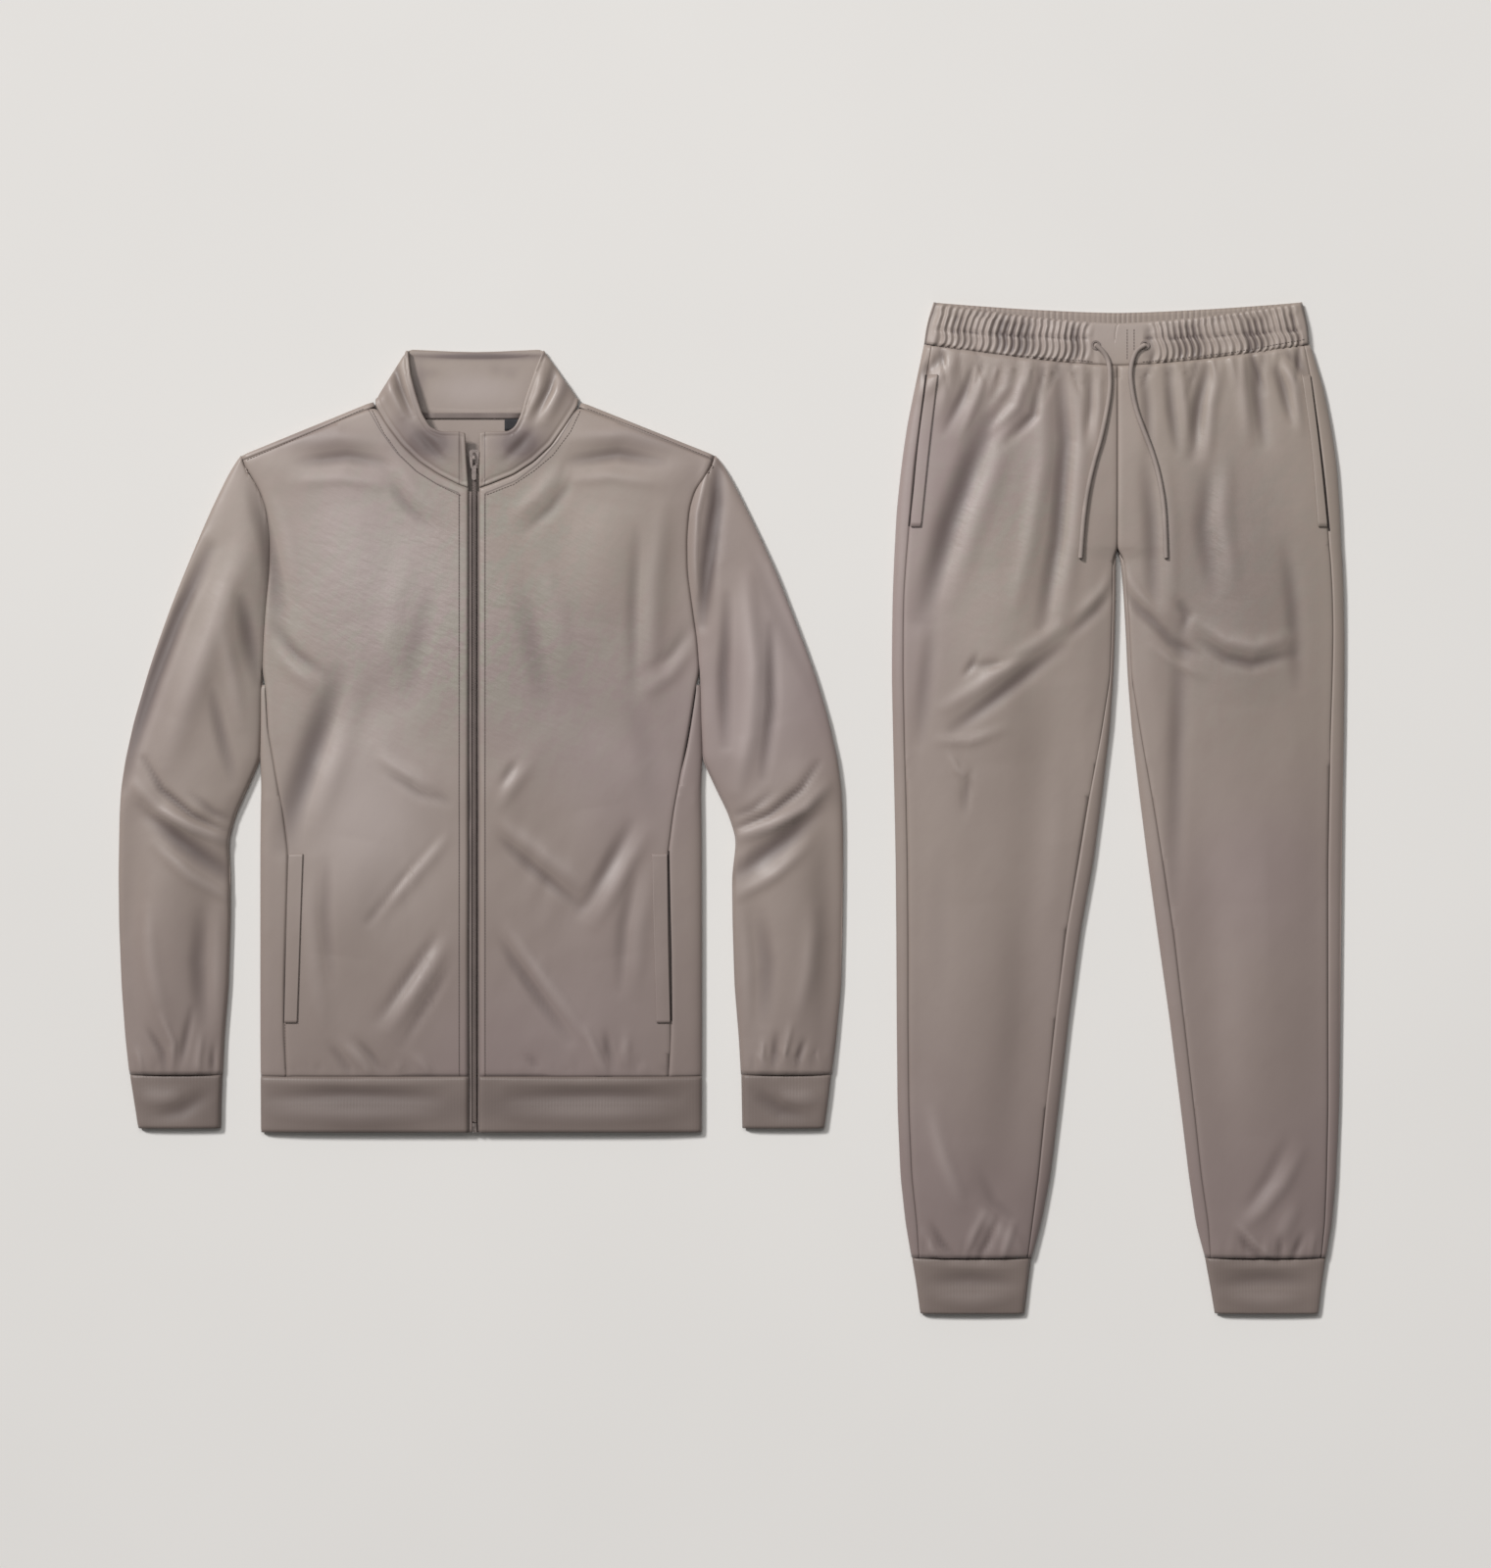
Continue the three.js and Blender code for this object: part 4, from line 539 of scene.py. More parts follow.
# Soft spots on the cloth: middle, then reach along x and y in mm, and amount. A tone above 0 is painted
# shade, such as along the inside of the collar under its top edge, and below 0 a painted highlight, both
# mixed with the cloth's own uneven tone; worn cloth is flecked and wrinkled.
shadeAndToneSpots = {
    "tone": {
        "jacket": [
            (-164, 709, 46, 14, 0.55), (170, 706, 46, 14, 0.4), (-46, 702, 26, 18, 1.6),
            (46, 702, 24, 18, 1.5), (-74, 724, 12, 18, 0.5), (-92, 766, 9, 30, 0.3), (94, 762, 10, 30, 0.4),
            (60, 480, 90, 120, 0.2), (240, 600, 24, 70, 0.45), (300, 470, 34, 90, -0.6),
            (-90, 570, 90, 80, -0.9), (-110, 330, 70, 100, -0.8), (0, 758, 40, 16, -0.7),
            (5, 792, 62, 3.2, 1.5), (0, 26, 250, 22, 0.6),
            (-44, 774, 12, 6, 0.3), (20, 777, 8, 8, 0.35), (36, 774, 8, 8, 0.35), (-58, 760, 8, 24, 0.7),
        ],
        "joggers": [(110, 760, 80, 150, 0.6), (0, 1000, 230, 22, -0.45), (-150, 660, 60, 120, 0.1)],
    },
    "worn": {
        "jacket": [(-90, 530, 120, 110, 1.3), (70, 500, 110, 110, 0.8), (0, 640, 120, 50, 0.6)],
        "joggers": [(-110, 800, 80, 140, 0.6), (120, 760, 80, 140, 0.7)],
    },
}


def spotValue(spots, points):
    value = np.zeros(len(points))
    for x, y, across, along, amount in spots:
        value += amount * bell(points[:, 0], x, across) * bell(points[:, 1], y, along)
    return value


# The stitch lines pressed into the cloth: beside the zip, and below the neck seam.
placket = {"right": -15.3, "left": 10.8}
collarFront = 728  # mm up, where the collar's own lines end
noStitch = 50.0  # mm, anything well away from a line
neckStitch = {
    "right": [(-118, 748), (-107, 735), (-95, 714), (-79, 692), (-60, 674), (-39, 661), (-15, 651), (0, 648)],
    "left": [(0, 648), (16, 653), (43, 664), (65, 681), (85, 704), (105, 738), (118, 750)],
}


def stitchOffset(node, points):
    x, y = points.T
    if node == "collar":
        beside = np.where(x < 0, placket["right"] - x, x - placket["left"])
        return np.where(y > collarFront, noStitch, beside)
    for side, way in sides.items():
        if node == "jacket_front_" + side:
            nearest, _, turn = alongLine(neckStitch[side], points)
            return np.minimum(way * (x - placket[side]), nearest * turn)
    return np.full(len(points), noStitch)


# The waistband in mm: the seam under it, and where its plain middle and ends begin and stop.
waistSeam = {"middle": 966, "lift": 19, "half": 197, "curve": 1.5}
plainMiddle = (24, 30)
plainEnds = (182, 192)
# The gathers lean over and sway, and a row of stitching, lower towards the sides, holds them flat. Their
# depth is painted on the cloth as shade in their hollows and highlight on their crests, no further than the
# deepest and palest.
gathered = {
    "lean": 3.2, "leanFoot": (0, 6), "leanTop": (36, 41), "sway": 1.6, "swayPitch": 17.0,
    "row": 1.3, "rowWide": 1.5, "rowUp": 19, "rowLift": 9, "rowHalf": 200,
    "uneven": 0.9, "unevenPitch": 7.3, "unevenDrift": 31.0, "unevenFoot": (2, 8), "unevenTop": (34, 40),
    "tone": 2.4, "deepest": -4, "palest": 2,
}


def gatherBand(mesh, look):
    co = readPoints(mesh)
    x, y = (co[:, :2] / mm - np.array(garmentPlace["joggers"][:2])).T
    up = y - waistSeam["middle"] - waistSeam["lift"] * (np.abs(x) / waistSeam["half"]) ** waistSeam["curve"]
    free = eased(*plainMiddle, np.abs(x)) * (1 - eased(*plainEnds, np.abs(x)))
    row = look["rowUp"] + look["rowLift"] * (1 - np.abs(x) / look["rowHalf"])
    lean = look["lean"] * np.sin(np.clip(up / row, 0, 1) * math.pi)
    lean += look["sway"] * np.sin(x / look["swayPitch"])
    co[:, 0] += lean * free * mm * eased(*look["leanFoot"], up) * (1 - eased(*look["leanTop"], up))
    co[:, 2] -= look["row"] * bell(up, row, look["rowWide"]) * free * mm
    wave = np.sin(x / look["unevenPitch"] + 2 * np.sin(x / look["unevenDrift"]))
    within = eased(*look["unevenFoot"], up) * (1 - eased(*look["unevenTop"], up))
    co[:, 2] += look["uneven"] * wave * free * mm * within
    writePoints(mesh, co)
    terms = np.stack([np.ones_like(x), x, y, x * x, x * y, y * y, x ** 4], axis=1)
    terms /= np.abs(terms).max(axis=0)
    smooth = terms @ np.linalg.lstsq(terms, co[:, 2], rcond=None)[0]
    # how far each point lies above or below a smooth fit of the band, scaled and clipped, for the painted
    # shade and highlight
    return np.clip((co[:, 2] - smooth) / mm * look["tone"], look["deepest"], look["palest"])


# The back of the waistband shows its inside, drawn up in finer gathers whose depth comes and goes, and which
# is painted as shade in their hollows and highlight on their crests.
fineGathers = {
    "pitch": 5.6, "wander": 2.2, "wanderPitch": 19.0, "even": 0.65, "uneven": 0.35, "unevenPitch": 11.0,
    "depth": 0.45, "tone": 1.5, "toneShift": 0.3,
}


def gatherInside(mesh, look):
    co = readPoints(mesh)
    x = co[:, 0] / mm - garmentPlace["joggers"][0]
    wave = np.sin(2 * math.pi * x / look["pitch"] + look["wander"] * np.sin(x / look["wanderPitch"]))
    wave *= look["even"] + look["uneven"] * np.sin(x / look["unevenPitch"] + 1)
    wave *= 1 - eased(*plainEnds, np.abs(x))
    co[:, 2] += look["depth"] * wave * mm
    writePoints(mesh, co)
    # the gathers' wave, shifted, for the painted shade and highlight
    return look["tone"] * (wave - look["toneShift"])


# How a solid's wall is told apart from its rim, and how its triangles are joined, in mm and degrees.
wallReading = {"weld": 0.002, "start": 0.02, "rimFrom": 1.7, "turn": 84, "flat": 40, "square": 80}


def rimFaces(bm, wall, look=wallReading):
    # from a rim, the way inwards runs on along the cloth; from a side, it leaves after the wall
    tree = BVHTree.FromBMesh(bm)
    rim = set()
    for face in bm.faces:
        inward = -face.normal
        hit = tree.ray_cast(face.calc_center_median() + inward * look["start"] * mm, inward)
        if hit[0] is None or hit[3] > look["rimFrom"] * wall * mm:
            rim.add(face)
    return rim


def wallSides(bm, wall, look=wallReading):
    # the two sides of a closed wall, largest first
    left = set(bm.faces) - rimFaces(bm, wall)
    found = []
    while left:
        seed = max(left, key=lambda face: face.calc_area())
        grown = {seed}
        stack = [seed]
        while stack:
            for edge in stack.pop().edges:
                if edge.calc_face_angle(0) < math.radians(look["turn"]):
                    fresh = [face for face in edge.link_faces if face in left and face not in grown]
                    grown.update(fresh)
                    stack.extend(fresh)
        left -= grown
        found.append(grown)
    return sorted(found, key=lambda group: -sum(face.calc_area() for face in group))


def outerShell(node, outside, wall, look=wallReading):
    bm = bmesh.new()
    bm.from_mesh(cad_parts[node].data)
    bmesh.ops.remove_doubles(bm, verts=bm.verts, dist=look["weld"] * mm)
    both = wallSides(bm, wall)[:2]
    if outside != "round":
        lift = [sum(face.normal.z * face.calc_area() for face in group) for group in both]
        if (lift[0] < lift[1]) == (outside == "up"):
            both.reverse()
    spare = [face for face in bm.faces if face not in both[0]]
    bmesh.ops.delete(bm, geom=spare, context="FACES")
    bmesh.ops.join_triangles(
        bm, faces=bm.faces, angle_face_threshold=math.radians(look["flat"]),
        angle_shape_threshold=math.radians(look["square"]),
    )
    return meshFrom(node, bm)


gatherCrest = {"amount": 1.2, "level": 2.5, "beside": 9}  # a share, and mm to the neighbours along y and x


def deepenGathers(mesh, look):
    # subdivision flattens a zigzag to a third, so each crest is first drawn away from its row
    bm = bmesh.new()
    bm.from_mesh(mesh)
    lifts = {}
    for v in bm.verts:
        near = [e.other_vert(v) for e in v.link_edges]
        row = [other for other in near if abs(other.co.y - v.co.y) < look["level"] * mm]
        row = [other for other in row if abs(other.co.x - v.co.x) < look["beside"] * mm]
        if len(row) == 2:
            lifts[v] = v.co.z - (row[0].co.z + row[1].co.z) / 2
    for v, lift in lifts.items():
        v.co.z += look["amount"] * lift
    bm.to_mesh(mesh)
    bm.free()


def subdivided(mesh, spacing):
    area = sum(face.area for face in mesh.polygons)
    level = max(1, round(math.log2(math.sqrt(area / len(mesh.polygons)) / (spacing * mm))))
    draft = linkObject("draft", mesh)
    surface = draft.modifiers.new("Subdivision", "SUBSURF")
    surface.levels = surface.render_levels = level
    surface.boundary_smooth = "PRESERVE_CORNERS"
    dense = bpy.data.meshes.new_from_object(draft.evaluated_get(bpy.context.evaluated_depsgraph_get()))
    bpy.data.objects.remove(draft)
    return dense


evening = {"longest": 6, "rounds": 4}  # in point spacings


def evened(mesh, spacing, look=evening):
    # long edges are halved until the points lie evenly, so that a slanting fold stays clean
    bm = bmesh.new()
    bm.from_mesh(mesh)
    for _ in range(look["rounds"]):
        longEdges = [e for e in bm.edges if e.calc_length() > look["longest"] * spacing * mm]
        if not longEdges:
            break
        bmesh.ops.subdivide_edges(bm, edges=longEdges, cuts=1, use_grid_fill=True)
    return meshFrom(mesh.name, bm)


def closedSeams(mesh, reach):
    # each rim is drawn out a little, so that neighbouring panels meet
    bm = bmesh.new()
    bm.from_mesh(mesh)
    pull = {}
    for e in bm.edges:
        if e.is_boundary:
            face = e.link_faces[0]
            along = e.verts[1].co - e.verts[0].co
            out = along.cross(face.normal).normalized()
            middle = (e.verts[0].co + e.verts[1].co) / 2
            if out.dot(middle - face.calc_center_median()) < 0:
                out.negate()
            for v in e.verts:
                pull[v] = pull.get(v, Vector()) + out
    for v, out in pull.items():
        v.co += out.normalized() * reach * mm
    bm.to_mesh(mesh)
    bm.free()


def edgeDistance(mesh, layers=4):
    # how far each vertex lies from the rim of its panel in mm, up to a few rows of faces in
    bm = bmesh.new()
    bm.from_mesh(mesh)
    rim = {v for e in bm.edges if e.is_boundary for v in e.verts}
    away = {v.index: 0.0 for v in rim}
    layer = sorted(rim, key=lambda v: v.index)
    for _ in range(layers):
        fresh = {}
        for v in layer:
            for e in v.link_edges:
                other = e.other_vert(v)
                reach = away[v.index] + e.calc_length()
                if reach < away.get(other.index, 1.0):
                    away[other.index] = reach
                    fresh[other] = True
        layer = list(fresh)
    count = len(bm.verts)
    bm.free()
    return np.array([away.get(i, 1.0) for i in range(count)]) / mm


# The collar's edge in mm: a bead, and the groove of its stitching further in.
collarEdge = {
    "bead": 0.35, "beadAt": 1.6, "beadWide": 1.5, "groove": 0.6, "grooveAt": 4.6, "grooveWide": 1.3,
    "layers": 12,
}


def rolledEdge(mesh, look):
    away = edgeDistance(mesh, look["layers"])
    bead = look["bead"] * bell(away, look["beadAt"], look["beadWide"])
    groove = look["groove"] * bell(away, look["grooveAt"], look["grooveWide"])
    writePoints(mesh, readPoints(mesh) + readPoints(mesh, "normal") * ((bead - groove) * mm)[:, None])


# Below the armhole the side panel and the sleeve meet: how far each reaches over in mm, and where.
touching = {
    "foot": (346, 392), "top": (446, 474), "panel": 1.9, "panelFrom": (206, 216), "sleeve": 1.2,
    "sleeveTo": (236, 252),
}


def touchingEdge(node, points, look=touching):
    x, y = points.T
    window = eased(*look["foot"], y) * (1 - eased(*look["top"], y)) * np.sign(x)
    if node.startswith("side_panel"):
        return look["panel"] * window * eased(*look["panelFrom"], np.abs(x))
    if node.startswith("sleeve_") and "cuff" not in node:
        return -look["sleeve"] * window * (1 - eased(*look["sleeveTo"], np.abs(x)))
    return np.zeros(len(points))


# Only faces that look up are folded. The reach of a seam's dip and the cloth's lowest point are in mm.
shaping = {"upFrom": 0.15, "upTo": 0.75, "dipReach": 2.2, "dipFrom": -0.2, "underside": 0.1}


def shapeCloth(mesh, garment, dip, relief=0, look=shaping):
    co = readPoints(mesh)
    normal = readPoints(mesh, "normal")
    local = co[:, :2] / mm - np.array(garmentPlace[garment][:2])
    upward = eased(look["upFrom"], look["upTo"], normal[:, 2])
    rise = foldRise(garment, local, foldLines[garment]) * upward
    swell = foldRise(garment, local, broadBands[garment]) * upward
    node = mesh.name.split(".")[0]
    co[:, 2] += (rise + swell) * mm
    co[:, 0] += touchingEdge(node, local) * mm
    # the fold's rise, with the gathers' depth, is painted as shade in troughs and highlight on crests
    carry(mesh, "fold", rise + relief)
    carry(mesh, "seam", stitchOffset(node, local))
    # the tone spots, painted shade and highlight mixed with the cloth's own tone, and the worn flecks
    seen = 1 if node == "collar" else upward
    for name, spots in shadeAndToneSpots.items():
        carry(mesh, name, spotValue(spots[garment], local) * seen)
    if dip:
        sink = dip * bell(edgeDistance(mesh), 0, look["dipReach"]) * (normal[:, 2] > look["dipFrom"])
        co -= normal * (sink * mm)[:, None]
    co[:, 2] = np.maximum(co[:, 2], look["underside"] * mm)
    writePoints(mesh, co)


# outer side, wall in mm, point spacing in mm, seam dip in mm, finish, cut width and length in metres, area
panelsOf = {
    "jacket": {
        "jacket_back": ("down", 1.2, 9, 0, "cloth", (0.48, 0.68), 0.28),
        "jacket_front_*": ("up", 1.2, 3, 0.8, "cloth", (0.25, 0.69), 0.135),
        "side_panel_right": ("round", 1.2, 3, 0.8, "cloth", (0.08, 0.40), 0.021),
        "side_panel_left": ("round", 1.2, 3, 0.8, "cloth", (0.08, 0.40), 0.023),
        "shoulder_strip_*": ("round", 1.2, 3, 0.7, "cloth", (0.035, 0.16), 0.0036),
        "sleeve_*": ("round", 1.2, 3.2, 0.6, "cloth", (0.30, 0.66), 0.135),
        "sleeve_cuff_*": ("round", 1.6, 2.5, 0.5, "rib", (0.19, 0.056), None),
        "hem_band": ("round", 1.6, 3, 0.5, "rib", (0.92, 0.058), None),
        "collar": ("round", 1.5, 1.5, 0, "cloth", (0.46, 0.07), 0.024),
    },
    "joggers": {
        "leg_front_*": ("up", 1.2, 3.2, 0.8, "cloth", (0.23, 0.93), 0.162),
        "leg_back_*": ("round", 1.2, 4, 0.5, "cloth", (0.27, 0.93), 0.21),
        "ankle_cuff_*": ("round", 1.6, 2.5, 0.5, "rib", (0.25, 0.058), None),
        "waistband_front": ("up", 1.6, 1.3, 0.4, "cloth", (0.40, 0.048), None),
        "waistband_back": ("down", 1.6, 1.5, 0.3, "cloth", (0.40, 0.052), None),
    },
}


def eachSide(panels):
    # a star in a name stands for right and left
    return {
        name.replace("*", side): row
        for name, row in panels.items() for side in (sides if "*" in name else [""])
    }


clothPieces = {garment: eachSide(panels) for garment, panels in panelsOf.items()}


def cadWall(node):
    # the solid's own wall in mm
    if node.startswith("waistband"):
        return 2
    return 1.8 if "cuff" in node or node == "hem_band" else 1.5


piecesOf = {}
seamReach = 0.35  # mm


def wearCloth(node, shell, wall, finish):
    # the finished shell gets its wall inwards, its finish, and its solid's place
    shell.shade_smooth()
    cloth = linkObject(node + "_cloth", shell)
    solid = cloth.modifiers.new("Wall", "SOLIDIFY")
    solid.thickness = wall * mm
    solid.offset = -1
    piecesOf[node] = finishPiece(cloth, finishes[finish], replaced=[node])


for garment, panels in clothPieces.items():
    for node, (outside, wall, spacing, dip, finish, _, _) in panels.items():
        shell = outerShell(node, outside, cadWall(node))
        if node.startswith("waistband"):
            deepenGathers(shell, gatherCrest)
        else:
            shell = evened(shell, spacing)
        shell = subdivided(shell, spacing)
        shell.name = node
        closedSeams(shell, seamReach)
        relief = 0
        if node == "waistband_front":
            relief = gatherBand(shell, gathered)
        if node == "waistband_back":
            relief = gatherInside(shell, fineGathers)
        if node == "collar":
            rolledEdge(shell, collarEdge)
        shapeCloth(shell, garment, dip, relief)
        wearCloth(node, shell, wall, finish)
        print(" ", node, len(shell.polygons), "faces", round(sum(f.area for f in shell.polygons), 4), "m2")


def upperSurface(names):
    verts = []
    faces = []
    for name in names:
        mesh = piecesOf[name].data
        base = len(verts)
        verts.extend(v.co.copy() for v in mesh.vertices)
        faces.extend([base + i for i in face.vertices] for face in mesh.polygons)
    return BVHTree.FromPolygons(verts, faces)


above = 80  # mm, higher than any cloth
tops = {
    garment: upperSurface([node for node in panels if node != "jacket_back"])
    for garment, panels in clothPieces.items()
}


def topOf(garment, x, y):
    hit = tops[garment].ray_cast(placed(garment, x, y, above), Vector((0, 0, -1)))
    return hit[0].z / mm if hit[0] else 0.0


print("trim")


def thinPiece(node, garment, wall, spacing, finish):
    shell = subdivided(outerShell(node, "up", wall), spacing)
    shapeCloth(shell, garment, 0)
    wearCloth(node, shell, wall, finish)


thinWall = 0.9  # mm
weltWall = 1.1
for side in sides:
    thinPiece("jacket_welt_" + side, "jacket", weltWall, 2, "cloth")
    thinPiece("jogger_welt_" + side, "joggers", weltWall, 2, "cloth")
    thinPiece("zip_tape_" + side, "jacket", thinWall, 3, "zip_cloth")
thinPiece("neck_tape", "jacket", thinWall, 3, "zip_cloth")
thinPiece("neck_label", "jacket", thinWall, 3, "label")

# mm; the teeth of the two sides take turns up the zip, each a little off the middle
zipCoil = {
    "foot": 11, "top": 675, "pitch": 1.7, "middle": 0.4, "aside": 0.798, "wide": 2.185, "long": 1.5,
    "tall": 0.8, "rise": 0.35, "bevel": 0.2,
}


def zipTeeth(look):
    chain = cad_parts["zip_chain"]
    tree = BVHTree.FromPolygons(
        [v.co for v in chain.data.vertices], [face.vertices for face in chain.data.polygons],
    )
    bm = bmesh.new()
    y = look["foot"]
    turn = 0
    while y < look["top"]:
        hit = tree.ray_cast(placed("jacket", look["middle"], y, above), Vector((0, 0, -1)))
        if hit[0] is None:
            y += look["pitch"] / 2
            continue
        way = -1 if turn % 2 else 1
        centre = placed("jacket", way * look["aside"], y) + Vector((0, 0, hit[0].z + look["rise"] * mm))
        size = Vector((look["wide"], look["long"], look["tall"])) * mm
        matrix = Matrix.Translation(centre) @ Matrix.Diagonal(size).to_4x4()
        tooth = bmesh.ops.create_cube(bm, size=1, matrix=matrix)
        edges = list({e for v in tooth["verts"] for e in v.link_edges})
        bmesh.ops.bevel(
            bm, geom=edges, offset=look["bevel"] * mm, segments=1, profile=0.5, affect="EDGES", material=-1,
        )
        y += look["pitch"] / 2
        turn += 1
    teeth = linkObject("zip_teeth", meshFrom("zip_teeth", bm))
    finishPiece(teeth, finishes["coil"], replaced=["zip_chain"])


zipTeeth(zipCoil)
keptSolids = {
    "zip_slider": "zip_metal", "zip_pull": "zip_metal", "zip_box": "zip_metal", "eyelet_right": "thread",
    "eyelet_left": "thread",
}
for node, finish in keptSolids.items():
    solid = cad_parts[node].data
    solid.materials.clear()
    solid.materials.append(finishes[finish])

# A row of machine stitches along a line in a garment's own millimetres, laid on the cloth.
stitch = {"long": 2.3, "gap": 0.8, "wide": 0.7, "tall": 0.35, "sunk": 0.05}


def stitchAlong(bm, garment, line, look=stitch):
    points = [Vector(p) for p in line]
    step = look["long"] + look["gap"]
    carried = 0.0
    for start, end in zip(points[:-1], points[1:]):
        length = (end - start).length
        way = (end - start) / length
        at = carried
        while at < length:
            x, y = start + way * at
            z = topOf(garment, x, y)
            if z > 0:
                ahead = topOf(garment, x + way.x * look["long"], y + way.y * look["long"]) or z
                middle = placed(garment, x, y, z + look["tall"] / 2 - look["sunk"])
                slope = math.atan2(ahead - z, look["long"])
                matrix = (
                    Matrix.Translation(middle)
                    @ Matrix.Rotation(math.atan2(way.y, way.x), 4, "Z")
                    @ Matrix.Rotation(-slope, 4, "Y")
                    @ Matrix.Diagonal(Vector((look["long"], look["wide"], look["tall"])) * mm).to_4x4()
                )
                bmesh.ops.create_cube(bm, size=1, matrix=matrix)
            at += step
        carried = at - length


stitchLines = {
    "jacket": [
        [(-15.5, 60), (-15.5, 652)],
        [(11, 60), (11, 652)],
        [(-15, 649), (-36, 659), (-57, 672), (-76, 690), (-92, 712), (-104, 735)],
        [(14, 650), (40, 660), (61, 674), (80, 690), (98, 714), (108, 736)],
        [(-231, 686), (-170, 712), (-112, 738)],
        [(237, 689), (170, 716), (114, 738)],
        [(-193, 66), (-193, 110)],
    ],
    "joggers": [
        [(-194, 988), (-170, 984), (-110, 977), (-60, 973), (-26, 970)],
        [(26, 970), (60, 973), (120, 980), (190, 993)],
        [(9, 974), (9, 1005)],
        [(16, 974), (16, 1005)],
    ],
}
for garment, lines in stitchLines.items():
    bm = bmesh.new()
    for line in lines:
        stitchAlong(bm, garment, line)
    seam = linkObject(garment + "_topstitch", meshFrom(garment + "_topstitch", bm))
    finishPiece(seam, finishes["stitching"])



def roundLine(name, points, radius, resolution):
    curve = bpy.data.curves.new(name, "CURVE")
    curve.dimensions = "3D"
    curve.bevel_depth = radius * mm
    curve.bevel_resolution = resolution
    curve.use_fill_caps = True
    spline = curve.splines.new("POLY")
    spline.points.add(len(points) - 1)
    for point, place in zip(spline.points, points):
        point.co = (*place, 1)
    return linkObject(name, curve)


# The painted shadow inside each pocket's mouth, as a narrow dark strip down the open edge of its welt.
mouth = {"radius": 1.15, "sunk": 0.45, "steps": 12}
pocketMouths = {
    "jacket": {
        "right": [(-188.6, 283), (-189.6, 240), (-191.8, 180), (-194, 112)],
        "left": [(197.6, 287), (198.6, 240), (200, 180), (200.6, 114)],
    },
    "joggers": {
        "right": [(-195.5, 957), (-202, 905), (-208, 850), (-213, 803)],
        "left": [(194.5, 956), (203, 905), (210, 850), (215, 798)],
    },
}
for garment, mouths in pocketMouths.items():
    for side, line in mouths.items():
        spots = [
            (a[0] + (b[0] - a[0]) * i / mouth["steps"], a[1] + (b[1] - a[1]) * i / mouth["steps"])
            for a, b in zip(line, line[1:]) for i in range(mouth["steps"])
        ] + [line[-1]]
        points = [placed(garment, x, y, topOf(garment, x, y) - mouth["sunk"]) for x, y in spots]
        strip = roundLine(garment + "_pocket_mouth_shadow_" + side, points, mouth["radius"], 2)
        finishPiece(strip, finishes["hollow"])

print("drawcord")
drawcord = {"radius": 2.4, "sink": 0.2}
cordRoutes = {
    "right": [
        (-23, 987), (-15.5, 980), (-10.5, 970), (-9, 956), (-9.5, 938), (-13, 916), (-18.5, 891), (-25, 868),
        (-31, 843), (-36, 810), (-39, 770),
    ],
    "left": [
        (27, 987), (19, 981.5), (14, 971), (12, 957), (14, 938), (18, 920), (24, 903), (33, 880), (40, 856),
        (45, 828), (47, 800), (48, 770),
    ],
}


def curvePoint(t, p, q, r, s):
    # the smooth curve from q to r that passes on through p and s
    bend = (2 * p - 5 * q + 4 * r - s) * t * t + (3 * q - p - 3 * r + s) * t ** 3
    return 0.5 * (2 * q + (r - p) * t + bend)


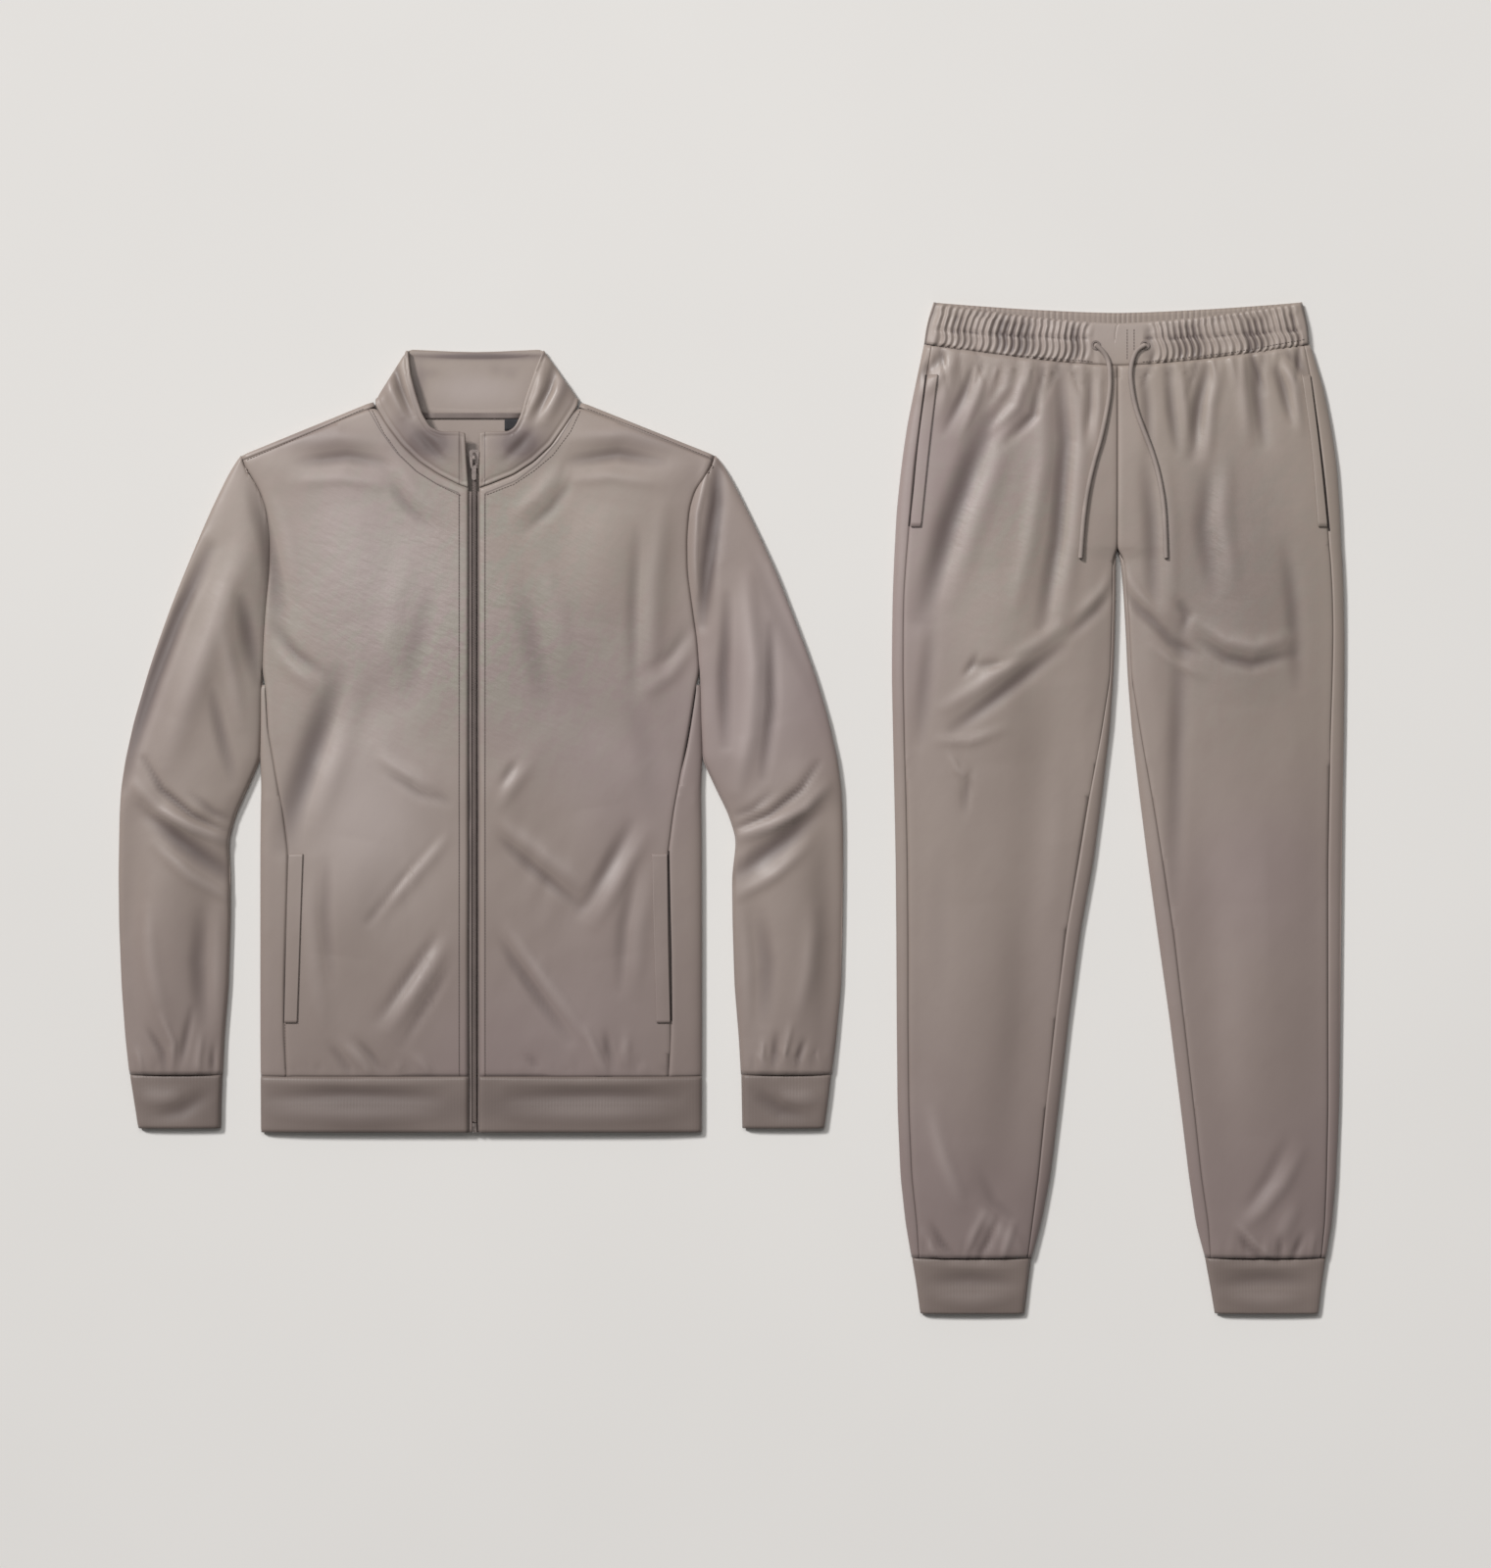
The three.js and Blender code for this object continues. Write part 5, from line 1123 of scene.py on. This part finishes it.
def laidRoute(route, radius):
    # a smooth line through the route's points, resting on the highest cloth under the cord's width
    fine = []
    padded = [route[0]] + list(route) + [route[-1]]
    for a, b, c, d in zip(padded, padded[1:], padded[2:], padded[3:]):
        for i in range(4):
            fine.append(tuple(curvePoint(i / 4, *four) for four in zip(a, b, c, d)))
    fine.append(route[-1])
    out = radius * 0.7
    reach = [(0, 0), (-out, 0), (out, 0), (0, out), (0, -out), (-0.7, 0), (0.7, 0)]
    heights = [max(topOf("joggers", x + dx, y + dy) for dx, dy in reach) for x, y in fine]
    near = [heights[max(0, i - 2): i + 3] for i in range(len(heights))]
    smooth = [sum(some) / len(some) for some in near]
    heights = [max(a, b) for a, b in zip(heights, smooth)]
    return [placed("joggers", x, y, z + radius) for (x, y), z in zip(fine, heights)]


for side, route in cordRoutes.items():
    points = laidRoute(route, drawcord["radius"] - drawcord["sink"])
    cord = roundLine("drawcord_" + side + "_braid", points, drawcord["radius"], 4)
    finishPiece(cord, finishes["cord"], replaced=["drawcord_" + side])

print("floor and lights")
floorLook = {"half": 4, "pale": (0.75, 0.729, 0.704, 1), "dull": (0.73125, 0.710775, 0.6864, 1), "drop": 0.15}
floorMaterial, tree, shader, place = newMaterial("pale floor", 0.9, Specular_IOR_Level=0.15)
paper = spread(tree, noiseField(tree, place, 2.2, 3), 0, 1)
tree.links.new(blendColours(tree, paper, floorLook["dull"], floorLook["pale"]), shader.inputs["Base Color"])
bm = bmesh.new()
bmesh.ops.create_grid(bm, x_segments=1, y_segments=1, size=floorLook["half"])
bmesh.ops.translate(bm, verts=bm.verts, vec=(0, 0, -floorLook["drop"] * mm))
floor = linkObject("floor", meshFrom("floor", bm))
floor.data.materials.append(floorMaterial)



def addLamp(name, kind, place, turnedFrom, **settings):
    lamp = bpy.data.lights.new(name, kind)
    for setting, value in settings.items():
        setattr(lamp, setting, value)
    obj = linkObject(name, lamp)
    obj.location = place
    obj.rotation_euler = Vector(turnedFrom).to_track_quat("Z", "Y").to_euler()


sun = {"from": (-1.0, 0.9, 1.25), "angle": 11, "strength": 2.72}
softbox = {"at": (-0.35, 1.3, 3.3), "width": 2.4, "height": 1.1, "watts": 36}
studio = {"colour": (1.0, 0.99, 0.975, 1), "strength": 0.17}
addLamp("key", "SUN", (0, 0, 0), sun["from"], angle=math.radians(sun["angle"]), energy=sun["strength"])
addLamp(
    "softbox", "AREA", softbox["at"], softbox["at"], shape="RECTANGLE", size=softbox["width"],
    size_y=softbox["height"], energy=softbox["watts"],
)
world = bpy.data.worlds.new("studio")
world.use_nodes = True
background = world.node_tree.nodes["Background"].inputs
background["Color"].default_value = studio["colour"]
background["Strength"].default_value = studio["strength"]
bpy.context.scene.world = world
bpy.context.scene.view_settings.view_transform = "Standard"
